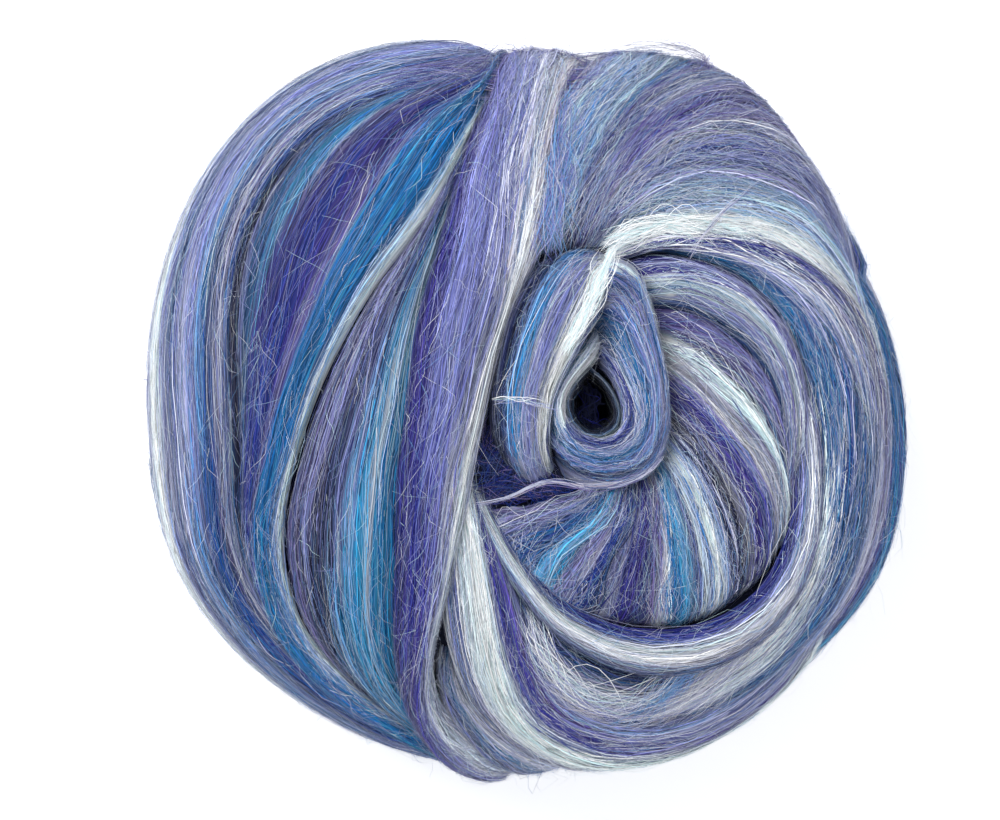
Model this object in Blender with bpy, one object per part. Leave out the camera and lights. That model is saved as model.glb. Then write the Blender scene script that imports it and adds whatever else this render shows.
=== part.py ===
"""A centre-pull ball of multicoloured wool roving, resting on a small flat spot.

Metres, +Z up.  +X and +Y are the length and width of the ball as it is seen from straight above, and the
origin is the middle of the spot that it rests on.

The roving is one unbroken, untwisted sliver, so the ball is one solid.  Its form is a flattened ball with a
bowl in the top, a narrow eye in the bowl, and the wound turns standing proud as crowned sheets.  A turn lies
between rails, which follow its fibres over the ball.
"""

import math
from collections import namedtuple

import bmesh
import bpy
import numpy as np
from mathutils import Vector
from mathutils.bvhtree import BVHTree

MM = 0.001

# Driving sizes of the ball, in millimetres.
BALL_LENGTH = 160.0
WAIST_HEIGHT = 54.0
CROWN_ABOVE_WAIST = 58.0
BASE_BELOW_WAIST = 58.0
EYE_RADIUS = 5.4
EYE_DEPTH = 24.0
BOWL_DEPTH = 13.5
BOWL_RADII = (40.0, 45.0)
BOWL_CURVE = 0.6
CREASE_DEPTH = -7.0
FULLNESS_OF_TURNS = 1.7
BOX_OFFSET = (0.03, -0.64, 0.0)

# The ball in plan was measured on a picture taken from straight above: PLAN_SPAN pixels are its length.
PLAN_SPAN = 750.0
PLAN_CENTRE = (527.0, 411.0)
EYE_PIXEL = (594.0, 409.0)
BOWL_PIXEL = (648.0, 432.0)

# Outline of the ball in plan: azimuth in degrees from +X, and radius in millimetres.
OUTLINE = (
    (0, 80.2), (15, 79.3), (28, 77.4), (42, 78.9), (58, 81.9), (70, 80.4),
    (87, 75.5), (103, 81.3), (117, 84.7), (129, 85.7), (142, 84.7), (160, 82.1),
    (177, 80.0), (190, 79.8), (203, 81.0), (218, 79.8), (235, 78.1), (255, 77.6),
    (270, 78.7), (285, 77.4), (300, 79.1), (318, 81.3), (334, 82.5), (347, 81.5),
)

# A turn that shows from above.  lift is its height in millimetres over the ball's own form at the start, middle
# and end of its run, crown is how much its middle stands over its edges, and each rail is a row of plan pixels
# along the fibres.  A pixel outside the outline is on the underside, as far inside it as it seems outside.
Turn = namedtuple("Turn", "name lift crown rails")

LEFT_RIM = ((520, 30), (430, 6), (310, 8), (150, 110), (80, 290), (72, 400), (88, 515), (150, 655), (265, 755),
            (400, 800), (520, 800))
LEFT_GAP = ((525, 52), (470, 66), (370, 95), (293, 150), (243, 250), (237, 400), (240, 500), (265, 600),
            (330, 680), (420, 748), (525, 780))
BLUE_EDGE = ((526, 58), (490, 92), (420, 130), (372, 200), (322, 300), (286, 400), (264, 490), (262, 560),
             (282, 630), (330, 688), (410, 742), (522, 780))
WHITE_EDGE = ((526, 66), (500, 100), (458, 165), (415, 230), (363, 300), (312, 400), (284, 490), (278, 560),
              (300, 640), (350, 698), (420, 745), (520, 781))
PURPLE_EDGE = ((522, 66), (498, 112), (455, 190), (437, 250), (412, 350), (400, 450), (396, 550), (392, 640),
               (403, 705), (440, 755), (520, 782))
CREST_LINE = ((526, 62), (512, 110), (508, 190), (500, 290), (483, 350), (462, 430), (447, 510), (437, 590),
              (424, 660), (424, 705), (452, 755), (525, 784))
BOWL_EDGE = ((532, 60), (546, 110), (549, 200), (538, 255), (516, 305), (500, 350), (487, 400), (473, 460),
             (463, 520), (447, 590), (431, 650), (430, 695), (446, 732), (482, 764), (535, 785))

TURNS = (
    Turn("left_outer", (-4, -1, -4), 3, (LEFT_RIM, LEFT_GAP)),
    Turn("left_blue", (-3, 0, -3), 3, (LEFT_GAP, BLUE_EDGE, WHITE_EDGE)),
    Turn("left_dusty", (-4, -2, -4), 2, (WHITE_EDGE, PURPLE_EDGE)),
    Turn("left_crest", (-3, 1, -3), 4, (PURPLE_EDGE, CREST_LINE, BOWL_EDGE)),
    Turn("top_fan", (-3, 1, -9), 2, (
        ((550, 248), (552, 200), (552, 150), (548, 100), (540, 62), (535, 30), (530, -10)),
        ((563, 243), (578, 190), (597, 140), (622, 95), (650, 60), (685, 25), (720, 0)),
        ((577, 240), (606, 182), (645, 132), (695, 100), (745, 100), (800, 132), (860, 170)),
        ((590, 240), (630, 195), (680, 168), (740, 170), (795, 192), (845, 232), (890, 275), (930, 350)),
        ((601, 243), (640, 215), (700, 200), (770, 208), (830, 250), (872, 308), (900, 380), (915, 460)),
    )),
    Turn("outer_arc", (-3, 0, -8), 3, (
        ((601, 240), (640, 222), (700, 212), (770, 222), (830, 262), (868, 315), (888, 380), (893, 450),
         (880, 540), (850, 610), (800, 670), (730, 722), (650, 752)),
        ((612, 253), (690, 250), (750, 260), (805, 293), (840, 345), (855, 410), (853, 490), (835, 570),
         (797, 640), (740, 693), (670, 728), (600, 742)),
        ((617, 258), (680, 257), (730, 275), (768, 308), (793, 350), (808, 400), (815, 450), (813, 510),
         (800, 570), (770, 620), (720, 668), (655, 705), (590, 712)),
    )),
    Turn("right_rim", (-9, -1, -9), 3, (
        ((825, 225), (868, 300), (886, 370), (890, 450), (880, 540), (845, 620), (790, 685)),
        ((860, 195), (930, 290), (962, 410), (955, 530), (910, 640), (830, 730)),
    )),
    Turn("crescent", (-3, 1, -6), 2, (
        ((622, 262), (690, 263), (745, 290), (780, 330), (800, 375), (808, 420), (806, 470), (795, 530)),
        ((632, 280), (690, 284), (740, 308), (775, 350), (790, 400), (795, 450), (790, 510)),
        ((640, 302), (695, 312), (745, 345), (775, 395), (787, 445), (787, 500), (775, 550)),
    )),
    Turn("bowl_fan", (-1, 0, -4), 0, (
        ((640, 302), (695, 312), (745, 345), (775, 395), (787, 445), (787, 500), (775, 550)),
        ((652, 335), (690, 362), (730, 400), (762, 440), (780, 480), (783, 525), (765, 575)),
        ((662, 375), (695, 405), (728, 445), (755, 490), (765, 530), (762, 570), (745, 600)),
        ((668, 415), (692, 450), (715, 490), (732, 530), (738, 565), (730, 600)),
        ((668, 440), (682, 480), (698, 520), (708, 560), (712, 595), (708, 630)),
        ((664, 455), (668, 500), (674, 540), (678, 580), (680, 640)),
        ((655, 468), (648, 510), (640, 550), (632, 590), (628, 640)),
        ((643, 478), (622, 515), (600, 550), (582, 585), (568, 622)),
        ((625, 488), (590, 515), (560, 535), (535, 550), (510, 580)),
        ((600, 492), (570, 505), (540, 512), (510, 518), (485, 525)),
    )),
    Turn("bowl_rim", (-7, 2, -6), 3, (
        ((490, 508), (520, 560), (560, 602), (610, 624), (660, 630), (715, 620), (758, 592), (785, 550),
         (797, 505), (802, 450), (797, 400), (780, 352)),
        ((476, 515), (508, 580), (552, 632), (605, 662), (665, 672), (730, 655), (780, 615), (808, 562),
         (820, 505), (823, 445), (814, 390), (792, 335)),
    )),
    Turn("sagging", (-8, -3, -8), 2, (
        ((486, 512), (512, 590), (555, 645), (610, 678), (660, 684), (715, 668), (765, 630), (795, 590)),
        ((472, 518), (503, 620), (545, 685), (600, 722), (650, 728), (710, 708), (765, 660), (812, 600)),
    )),
    Turn("mint_band", (-7, 0, -7), 4, (
        ((460, 515), (453, 590), (458, 650), (475, 705), (515, 745), (580, 770), (660, 764), (745, 728)),
        ((470, 512), (483, 590), (495, 650), (515, 702), (560, 735), (620, 748), (690, 738), (765, 700)),
        ((482, 510), (512, 590), (535, 650), (562, 698), (605, 722), (655, 728), (720, 706), (790, 650)),
    )),
    Turn("tail", (-8, -3, -8), 3, (
        ((428, 640), (430, 700), (450, 748), (500, 782), (570, 800), (650, 795), (740, 765)),
        ((446, 650), (458, 705), (495, 745), (555, 772), (620, 774), (700, 752)),
    )),
    Turn("pocket", (-12, -12, -9), 2, (
        ((484, 410), (476, 450), (478, 490), (492, 520)),
        ((522, 400), (528, 440), (542, 475), (560, 495)),
    )),
    Turn("hood_left", (1, 5, -4), 2.5, (
        ((614, 254), (580, 254), (548, 270), (522, 308), (508, 355), (500, 400), (502, 440), (518, 475)),
        ((617, 262), (590, 268), (565, 292), (545, 330), (532, 370), (524, 410), (528, 450), (545, 482)),
        ((622, 272), (606, 285), (596, 315), (580, 343), (563, 372), (550, 400), (546, 440), (560, 472)),
    )),
    Turn("hood_right", (1, 2.5, -6), 2.5, (
        ((600, 262), (628, 275), (643, 305), (653, 345), (662, 390), (667, 430), (657, 466), (630, 486),
         (590, 490), (550, 476)),
        ((600, 285), (618, 315), (637, 355), (650, 400), (652, 436), (636, 462), (600, 471), (566, 462),
         (546, 435), (545, 402)),
        ((592, 320), (606, 352), (625, 390), (640, 430), (630, 450), (600, 455), (572, 444), (555, 420),
         (555, 395), (572, 372)),
        ((580, 352), (598, 375), (614, 405), (626, 434), (606, 443), (581, 432), (564, 412), (562, 393),
         (578, 376), (597, 372)),
    )),
)

# A turn that crosses the underside as a lune: where the pole that its rails leave stands (degrees from +X, and
# degrees up), the angles that it covers about that pole, counted from straight down, and its lift.
Lune = namedtuple("Lune", "name pole_azimuth pole_tilt start_angle end_angle lift")

LUNES = (
    Lune("under_1", 96, 4, -92, -52, -2.5),
    Lune("under_2", 85, -4, -64, -24, -4),
    Lune("under_3", 97, 3, -34, 4, -2.5),
    Lune("under_4", 85, -3, -8, 32, -4),
    Lune("under_5", 96, 4, 22, 60, -2.5),
    Lune("under_6", 88, 0, 50, 92, -4),
    Lune("wrap_north", 10, 6, 40, 78, -1.5),
    Lune("wrap_south", -8, -5, -80, -42, -1.5),
    Lune("wrap_base", 34, 0, -19, 19, -1),
)
LUNE_CROWN = 4.5
LUNE_RAILS = 5
POLE_MARGIN = 9.0
EDGE_ROLL = 2.5
EDGE_SHARE = 0.12
LIFT_EASE = 0.6

SPLINE_STEPS = 12
RAIL_SAMPLES = 49
ROWS_BETWEEN_RAILS = 6
MIN_ROWS = 13

# The solid's mesh.
SPOKES = 168
RINGS_ABOVE = 66
RINGS_BELOW = 40
FLAT_RADIUS_SHARE = 0.30
EYE_RINGS = (0.5, 0.74, 0.86, 0.95, 1.08)
EYE_WALL_POWER = 3
TRIANGLE_SHARE = 0.32
PROBE_HEIGHT = 30.0
PROBE_SPREAD = (1.2, 2.4, 3.6)
PROBES_AROUND = 8
RING_BLUR = 1.6

PX = BALL_LENGTH / PLAN_SPAN


def plan_point(pixel):
    """The plan place of a pixel, in millimetres from the ball's middle."""
    pixel = np.asarray(pixel, float)
    return (pixel - PLAN_CENTRE) * (PX, -PX)


def outline_radius(azimuth):
    """The outline's radius at these azimuths, in radians, on a smooth closed curve through its table."""
    table = np.array(OUTLINE, float)
    degrees = np.degrees(azimuth) % 360.0
    after = np.searchsorted(table[:, 0], degrees, side="right")
    count = len(table)
    knots = [(after + step) % count for step in (-2, -1, 0, 1)]
    start, end = table[knots[1], 0], table[knots[2], 0]
    span = (end - start) % 360.0
    part = ((degrees - start) % 360.0) / span
    r0, r1, r2, r3 = (table[knot, 1] for knot in knots)
    slope_in = (r2 - r0) / 2
    slope_out = (r3 - r1) / 2
    square, cube = part**2, part**3
    return (
        (2 * cube - 3 * square + 1) * r1 + (cube - 2 * square + part) * slope_in
        + (3 * square - 2 * cube) * r2 + (cube - square) * slope_out
    )


def unit(vectors):
    return vectors / np.linalg.norm(vectors, axis=-1, keepdims=True)


def direction_of_plan(plan):
    """Unit directions of plan points.  One outside the outline is folded over onto the underside."""
    azimuth = np.arctan2(plan[..., 1], plan[..., 0])
    share = np.hypot(plan[..., 0], plan[..., 1]) / outline_radius(azimuth)
    reach = np.where(share <= 1, share, 2 - share)
    height = np.sqrt(np.maximum(1 - reach**2, 0)) * np.where(share <= 1, 1, -1)
    return np.stack([reach * np.cos(azimuth), reach * np.sin(azimuth), height], axis=-1)


def bowl_drop(x, y):
    """How far the bowl round the eye sinks the top at a plan place."""
    centre = plan_point(BOWL_PIXEL)
    reach = ((x - centre[0]) / BOWL_RADII[0]) ** 2 + ((y - centre[1]) / BOWL_RADII[1]) ** 2
    return BOWL_DEPTH * np.clip(1 - reach, 0, 1) ** BOWL_CURVE


def ball_surface(directions, lift=0.0):
    """Points of the ball's own form in these directions, raised by lift along its normal."""
    azimuth = np.arctan2(directions[..., 1], directions[..., 0])
    radius = outline_radius(azimuth) - FULLNESS_OF_TURNS
    up = directions[..., 2]
    half_height = np.where(up > 0, CROWN_ABOVE_WAIST, BASE_BELOW_WAIST)
    points = np.stack(
        [directions[..., 0] * radius, directions[..., 1] * radius, WAIST_HEIGHT + up * half_height], axis=-1
    )
    points += BOX_OFFSET
    normals = unit(directions / np.stack([radius, radius, half_height], axis=-1))
    points[..., 2] -= np.where(up > 0, bowl_drop(points[..., 0], points[..., 1]), 0)
    points = points + normals * np.asarray(lift)[..., None]
    points[..., 2] = np.maximum(points[..., 2], 0)
    return points, normals


def spline(points, samples):
    """A smooth curve through points, as this many evenly spaced ones."""
    points = np.asarray(points, float)
    padded = np.concatenate([[2 * points[0] - points[1]], points, [2 * points[-1] - points[-2]]])
    fine = []
    for p0, p1, p2, p3 in zip(padded, padded[1:], padded[2:], padded[3:]):
        t = np.linspace(0, 1, SPLINE_STEPS, endpoint=False)[:, None]
        fine.append(0.5 * (2 * p1 + (p2 - p0) * t + (2 * p0 - 5 * p1 + 4 * p2 - p3) * t**2
                           + (3 * p1 - p0 - 3 * p2 + p3) * t**3))
    fine = np.concatenate(fine + [points[-1:]])
    length = np.concatenate([[0], np.cumsum(np.linalg.norm(np.diff(fine, axis=0), axis=1))])
    even = np.linspace(0, length[-1], samples)
    return np.stack([np.interp(even, length, column) for column in fine.T], axis=-1)


def rail_directions(rail):
    return unit(spline(direction_of_plan(plan_point(rail)), RAIL_SAMPLES))


def lune_rails(lune):
    """The rails of a turn that crosses the underside, from pole to pole."""
    azimuth, tilt = math.radians(lune.pole_azimuth), math.radians(lune.pole_tilt)
    pole = np.array([math.cos(azimuth) * math.cos(tilt), math.sin(azimuth) * math.cos(tilt), math.sin(tilt)])
    down = unit(np.array([0, 0, -1.0]) + pole * pole[2])
    side = np.cross(pole, down)
    run = np.radians(np.linspace(POLE_MARGIN, 180 - POLE_MARGIN, RAIL_SAMPLES))[:, None]
    rails = []
    for angle in np.radians(np.linspace(lune.start_angle, lune.end_angle, LUNE_RAILS)):
        across = down * math.cos(angle) + side * math.sin(angle)
        rails.append(np.cos(run) * pole + np.sin(run) * across)
    return rails


def blend_rails(rails):
    """Directions over a turn, as a grid with a row of points along each fibre line."""
    rows = max(MIN_ROWS, ROWS_BETWEEN_RAILS * (len(rails) - 1) + 1)
    place = np.linspace(0, len(rails) - 1, rows)
    first = np.minimum(place.astype(int), len(rails) - 2)
    part = (place - first)[:, None, None]
    rails = np.array(rails)
    return unit(rails[first] * (1 - part) + rails[first + 1] * part)


def turn_lift(lift, crown, rows):
    """Heights over a turn's grid: its lift along the run, its crown across it, and its rolled-down edges."""
    run = np.linspace(0, 1, RAIL_SAMPLES)
    start, middle, end = lift
    rise = np.sin(np.pi * run) ** LIFT_EASE
    along = np.where(run < 0.5, start, end) * (1 - rise) + middle * rise
    across = np.linspace(0, 1, rows)
    edge = np.clip(np.minimum(across, 1 - across) / EDGE_SHARE, 0, 1)
    profile = crown * (1 - (2 * across - 1) ** 2) - EDGE_ROLL * (1 - edge) ** 2
    return along[None, :] + profile[:, None]


def all_sheets():
    """The top surface of every turn, as grids of points."""
    for turn in TURNS:
        grid = blend_rails([rail_directions(rail) for rail in turn.rails])
        yield ball_surface(grid, turn_lift(turn.lift, turn.crown, len(grid)))[0]
    for lune in LUNES:
        grid = blend_rails(lune_rails(lune))
        lift = turn_lift((lune.lift,) * 3, LUNE_CROWN, len(grid))
        yield ball_surface(grid, lift)[0]


def sheet_tree():
    """Every turn's surface in one search tree."""
    points, faces = [], []
    for grid in all_sheets():
        rows, columns = grid.shape[:2]
        index = np.arange(rows * columns).reshape(rows, columns) + len(points)
        points.extend(map(tuple, grid.reshape(-1, 3)))
        corners = (index[:-1, :-1], index[1:, :-1], index[1:, 1:], index[:-1, 1:])
        faces.extend(map(tuple, np.stack(corners, axis=-1).reshape(-1, 4).tolist()))
    return BVHTree.FromPolygons(points, faces)


def ring_directions():
    """Directions of the solid's rings, from the eye over the waist to the flat spot.  The rings above the waist
    have the eye as their middle, and drift to the ball's own middle as they widen."""
    eye = plan_point(EYE_PIXEL)
    azimuths = np.linspace(0, 2 * math.pi, SPOKES, endpoint=False)
    rim = np.stack([np.cos(azimuths), np.sin(azimuths)], axis=-1)
    eye_share = eye / outline_radius(np.arctan2(eye[1], eye[0]))
    eye_reach = EYE_RADIUS / (BALL_LENGTH / 2)
    rings = [eye_share + rim * eye_reach * share for share in EYE_RINGS[:-1]]
    for angle in np.linspace(math.asin(eye_reach * EYE_RINGS[-1]), math.pi / 2, RINGS_ABOVE):
        reach = math.sin(angle)
        rings.append(eye_share * (1 - reach**2) + rim * reach)
    above = np.array(rings)
    flat = math.asin(FLAT_RADIUS_SHARE)
    below = np.array([rim * math.sin(angle) for angle in np.linspace(math.pi / 2, flat, RINGS_BELOW + 1)[1:]])
    height_above = np.sqrt(np.maximum(1 - (above**2).sum(-1), 0))
    height_below = -np.sqrt(1 - (below**2).sum(-1))
    return np.concatenate([np.dstack([above, height_above]), np.dstack([below, height_below])])


def probe_offsets(normal):
    """A small disc of places round a point, square to its normal: the middle and a few staggered rings."""
    along = normal.orthogonal().normalized()
    across = normal.cross(along)
    offsets = [Vector((0, 0, 0))]
    for ring, radius in enumerate(PROBE_SPREAD):
        for step in range(PROBES_AROUND):
            angle = 2 * math.pi * (step + ring / len(PROBE_SPREAD)) / PROBES_AROUND
            offsets.append(radius * (along * math.cos(angle) + across * math.sin(angle)))
    return offsets


def relief(points, normals):
    """How far the outermost turns stand over the ball's own form at each point, averaged over a small disc and
    then along each ring."""
    tree = sheet_tree()
    lifts = np.empty(points.shape[:2])
    for place in np.ndindex(lifts.shape):
        normal = Vector(normals[place])
        start = Vector(points[place]) + normal * PROBE_HEIGHT
        found = []
        for offset in probe_offsets(normal):
            distance = tree.ray_cast(start + offset, -normal, PROBE_HEIGHT - CREASE_DEPTH)[3]
            found.append(CREASE_DEPTH if distance is None else PROBE_HEIGHT - distance)
        lifts[place] = sum(found) / len(found)
    waves = np.arange(SPOKES // 2 + 1)
    ring_radii = np.linalg.norm(points[..., :2] - plan_point(EYE_PIXEL), axis=-1).mean(axis=1)
    fade = np.exp(-0.5 * (waves[None, :] * RING_BLUR / ring_radii[:, None]) ** 2)
    return np.fft.irfft(np.fft.rfft(lifts, axis=1) * fade, SPOKES, axis=1)


def ball_rings():
    """The solid's rings of points, in millimetres, with the eye sunk and the flat spot level."""
    directions = ring_directions()
    points, normals = ball_surface(directions)
    rings = ball_surface(directions, relief(points, normals))[0]
    lip = rings[len(EYE_RINGS) - 1]
    middle = lip.mean(axis=0)
    for ring, share in enumerate(EYE_RINGS[:-1]):
        narrowed = share / EYE_RINGS[-1]
        depth = (EYE_RINGS[-1] - share) / (EYE_RINGS[-1] - EYE_RINGS[0])
        sunk = 1 - (1 - depth) ** EYE_WALL_POWER
        rings[ring, :, :2] = middle[:2] + (lip[:, :2] - middle[:2]) * narrowed
        rings[ring, :, 2] = lip[:, 2] * (1 - sunk) + (middle[2] - EYE_DEPTH) * sunk
    rings[-1, :, 2] = 0
    return rings


def build_ball():
    """The ball as one closed mesh, in metres."""
    rings = ball_rings() * MM
    mesh = bmesh.new()
    verts = [[mesh.verts.new(point) for point in ring] for ring in rings]
    bottom_of_eye = mesh.verts.new(rings[0].mean(axis=0))
    for spoke in range(SPOKES):
        after = (spoke + 1) % SPOKES
        mesh.faces.new((bottom_of_eye, verts[0][spoke], verts[0][after]))
        for inner, outer in zip(verts, verts[1:]):
            mesh.faces.new((inner[spoke], outer[spoke], outer[after], inner[after]))
    mesh.faces.new(list(reversed(verts[-1])))
    bmesh.ops.triangulate(mesh, faces=mesh.faces[:])
    bmesh.ops.dissolve_degenerate(mesh, edges=mesh.edges[:], dist=1e-6)
    bmesh.ops.recalc_face_normals(mesh, faces=mesh.faces[:])
    data = bpy.data.meshes.new("roving_ball")
    mesh.to_mesh(data)
    mesh.free()
    data.shade_smooth()
    ball = bpy.data.objects.new("roving_ball", data)
    bpy.context.scene.collection.objects.link(ball)
    fewer = ball.modifiers.new("fewer_triangles", "DECIMATE")
    fewer.ratio = TRIANGLE_SHARE
    return ball


def wool_material():
    material = bpy.data.materials.new("combed_wool")
    material.use_nodes = True
    shader = material.node_tree.nodes["Principled BSDF"]
    shader.inputs["Base Color"].default_value = (0.17, 0.20, 0.48, 1)
    shader.inputs["Roughness"].default_value = 0.62
    shader.inputs["Metallic"].default_value = 0.0
    return material


def main():
    for old in list(bpy.data.objects):
        bpy.data.objects.remove(old, do_unlink=True)
    ball = build_ball()
    ball.data.materials.append(wool_material())


main()
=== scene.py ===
"""The looks of a centre-pull ball of multicoloured wool roving: its stripes, combed fibres and fuzz.

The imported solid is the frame, and the ball here is laid over it from the same named sizes and rails.  Each
wound turn is a crowned sheet between rails.  Its stripes run along it as soft locks, and the combed fibres
are thin ribbons that follow them.  Lengths are in millimetres up to the meshes, which are in metres.
"""

import math
from collections import namedtuple

import bpy
import numpy as np
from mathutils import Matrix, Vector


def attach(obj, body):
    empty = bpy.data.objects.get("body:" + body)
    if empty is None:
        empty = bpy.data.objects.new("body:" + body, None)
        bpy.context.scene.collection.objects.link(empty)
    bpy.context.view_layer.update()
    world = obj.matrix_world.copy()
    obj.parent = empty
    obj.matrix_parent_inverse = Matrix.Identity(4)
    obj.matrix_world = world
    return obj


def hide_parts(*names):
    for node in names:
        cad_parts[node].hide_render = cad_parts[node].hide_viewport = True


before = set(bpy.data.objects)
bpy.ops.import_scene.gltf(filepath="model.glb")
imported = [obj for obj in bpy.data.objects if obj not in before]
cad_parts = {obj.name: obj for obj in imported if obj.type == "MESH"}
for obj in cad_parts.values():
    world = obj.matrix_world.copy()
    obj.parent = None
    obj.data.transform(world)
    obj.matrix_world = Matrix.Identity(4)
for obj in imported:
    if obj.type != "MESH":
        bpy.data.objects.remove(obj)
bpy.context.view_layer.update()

MM = 0.001

# Driving sizes of the ball, in millimetres.
BALL_LENGTH = 160.0
WAIST_HEIGHT = 54.0
CROWN_ABOVE_WAIST = 58.0
BASE_BELOW_WAIST = 58.0
EYE_DEPTH = 24.0
BOWL_DEPTH = 13.5
BOWL_RADII = (40.0, 45.0)
BOWL_CURVE = 0.6
FULLNESS_OF_TURNS = 1.7
BOX_OFFSET = (0.03, -0.64, 0.0)

# The ball in plan was measured on a picture taken from straight above: PLAN_SPAN pixels are its length.
PICTURE = (1000, 820)
PLAN_SPAN = 750.0
PLAN_CENTRE = (527.0, 411.0)
EYE_PIXEL = (594.0, 409.0)
BOWL_PIXEL = (648.0, 432.0)
PX = BALL_LENGTH / PLAN_SPAN

# Outline of the ball in plan: azimuth in degrees from +X, and radius in millimetres.
OUTLINE = (
    "0,80.2 15,79.3 28,77.4 42,78.9 58,81.9 70,80.4 87,75.5 103,81.3 "
    "117,84.7 129,85.7 142,84.7 160,82.1 177,80.0 190,79.8 203,81.0 218,79.8 "
    "235,78.1 255,77.6 270,78.7 285,77.4 300,79.1 318,81.3 334,82.5 347,81.5"
)

# A turn that shows from above.  lift is its height over the ball's own form at the start, middle and end of
# its run, crown is how much its middle stands over its edges, and each rail is a row of plan pixels, x,y,
# along the fibres.  A pixel outside the outline is on the underside, as far inside it as it seems outside.
Turn = namedtuple("Turn", "name lift crown rails")

LEFT_RIM = "520,30 430,6 310,8 150,110 80,290 72,400 88,515 150,655 265,755 400,800 520,800"
LEFT_GAP = "525,52 470,66 370,95 293,150 243,250 237,400 240,500 265,600 330,680 420,748 525,780"
BLUE_EDGE = "512,46 484,84 420,130 372,200 322,300 286,400 264,490 262,560 282,630 330,688 410,742 522,780"
WHITE_EDGE = "512,46 488,86 458,160 415,230 363,300 312,400 284,490 278,560 300,640 350,698 420,745 520,781"
PURPLE_EDGE = "510,40 484,92 455,175 437,250 412,350 400,450 396,550 392,640 403,705 440,755 520,782"
CREST_LINE = "562,38 530,100 511,190 500,290 483,350 462,430 447,510 437,590 424,660 424,705 452,755 525,784"
BOWL_EDGE = (
    "622,40 574,100 552,200 538,255 516,305 500,350 487,400 473,460 "
    "463,520 447,590 431,650 430,695 446,732 482,764 535,785"
)

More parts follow.
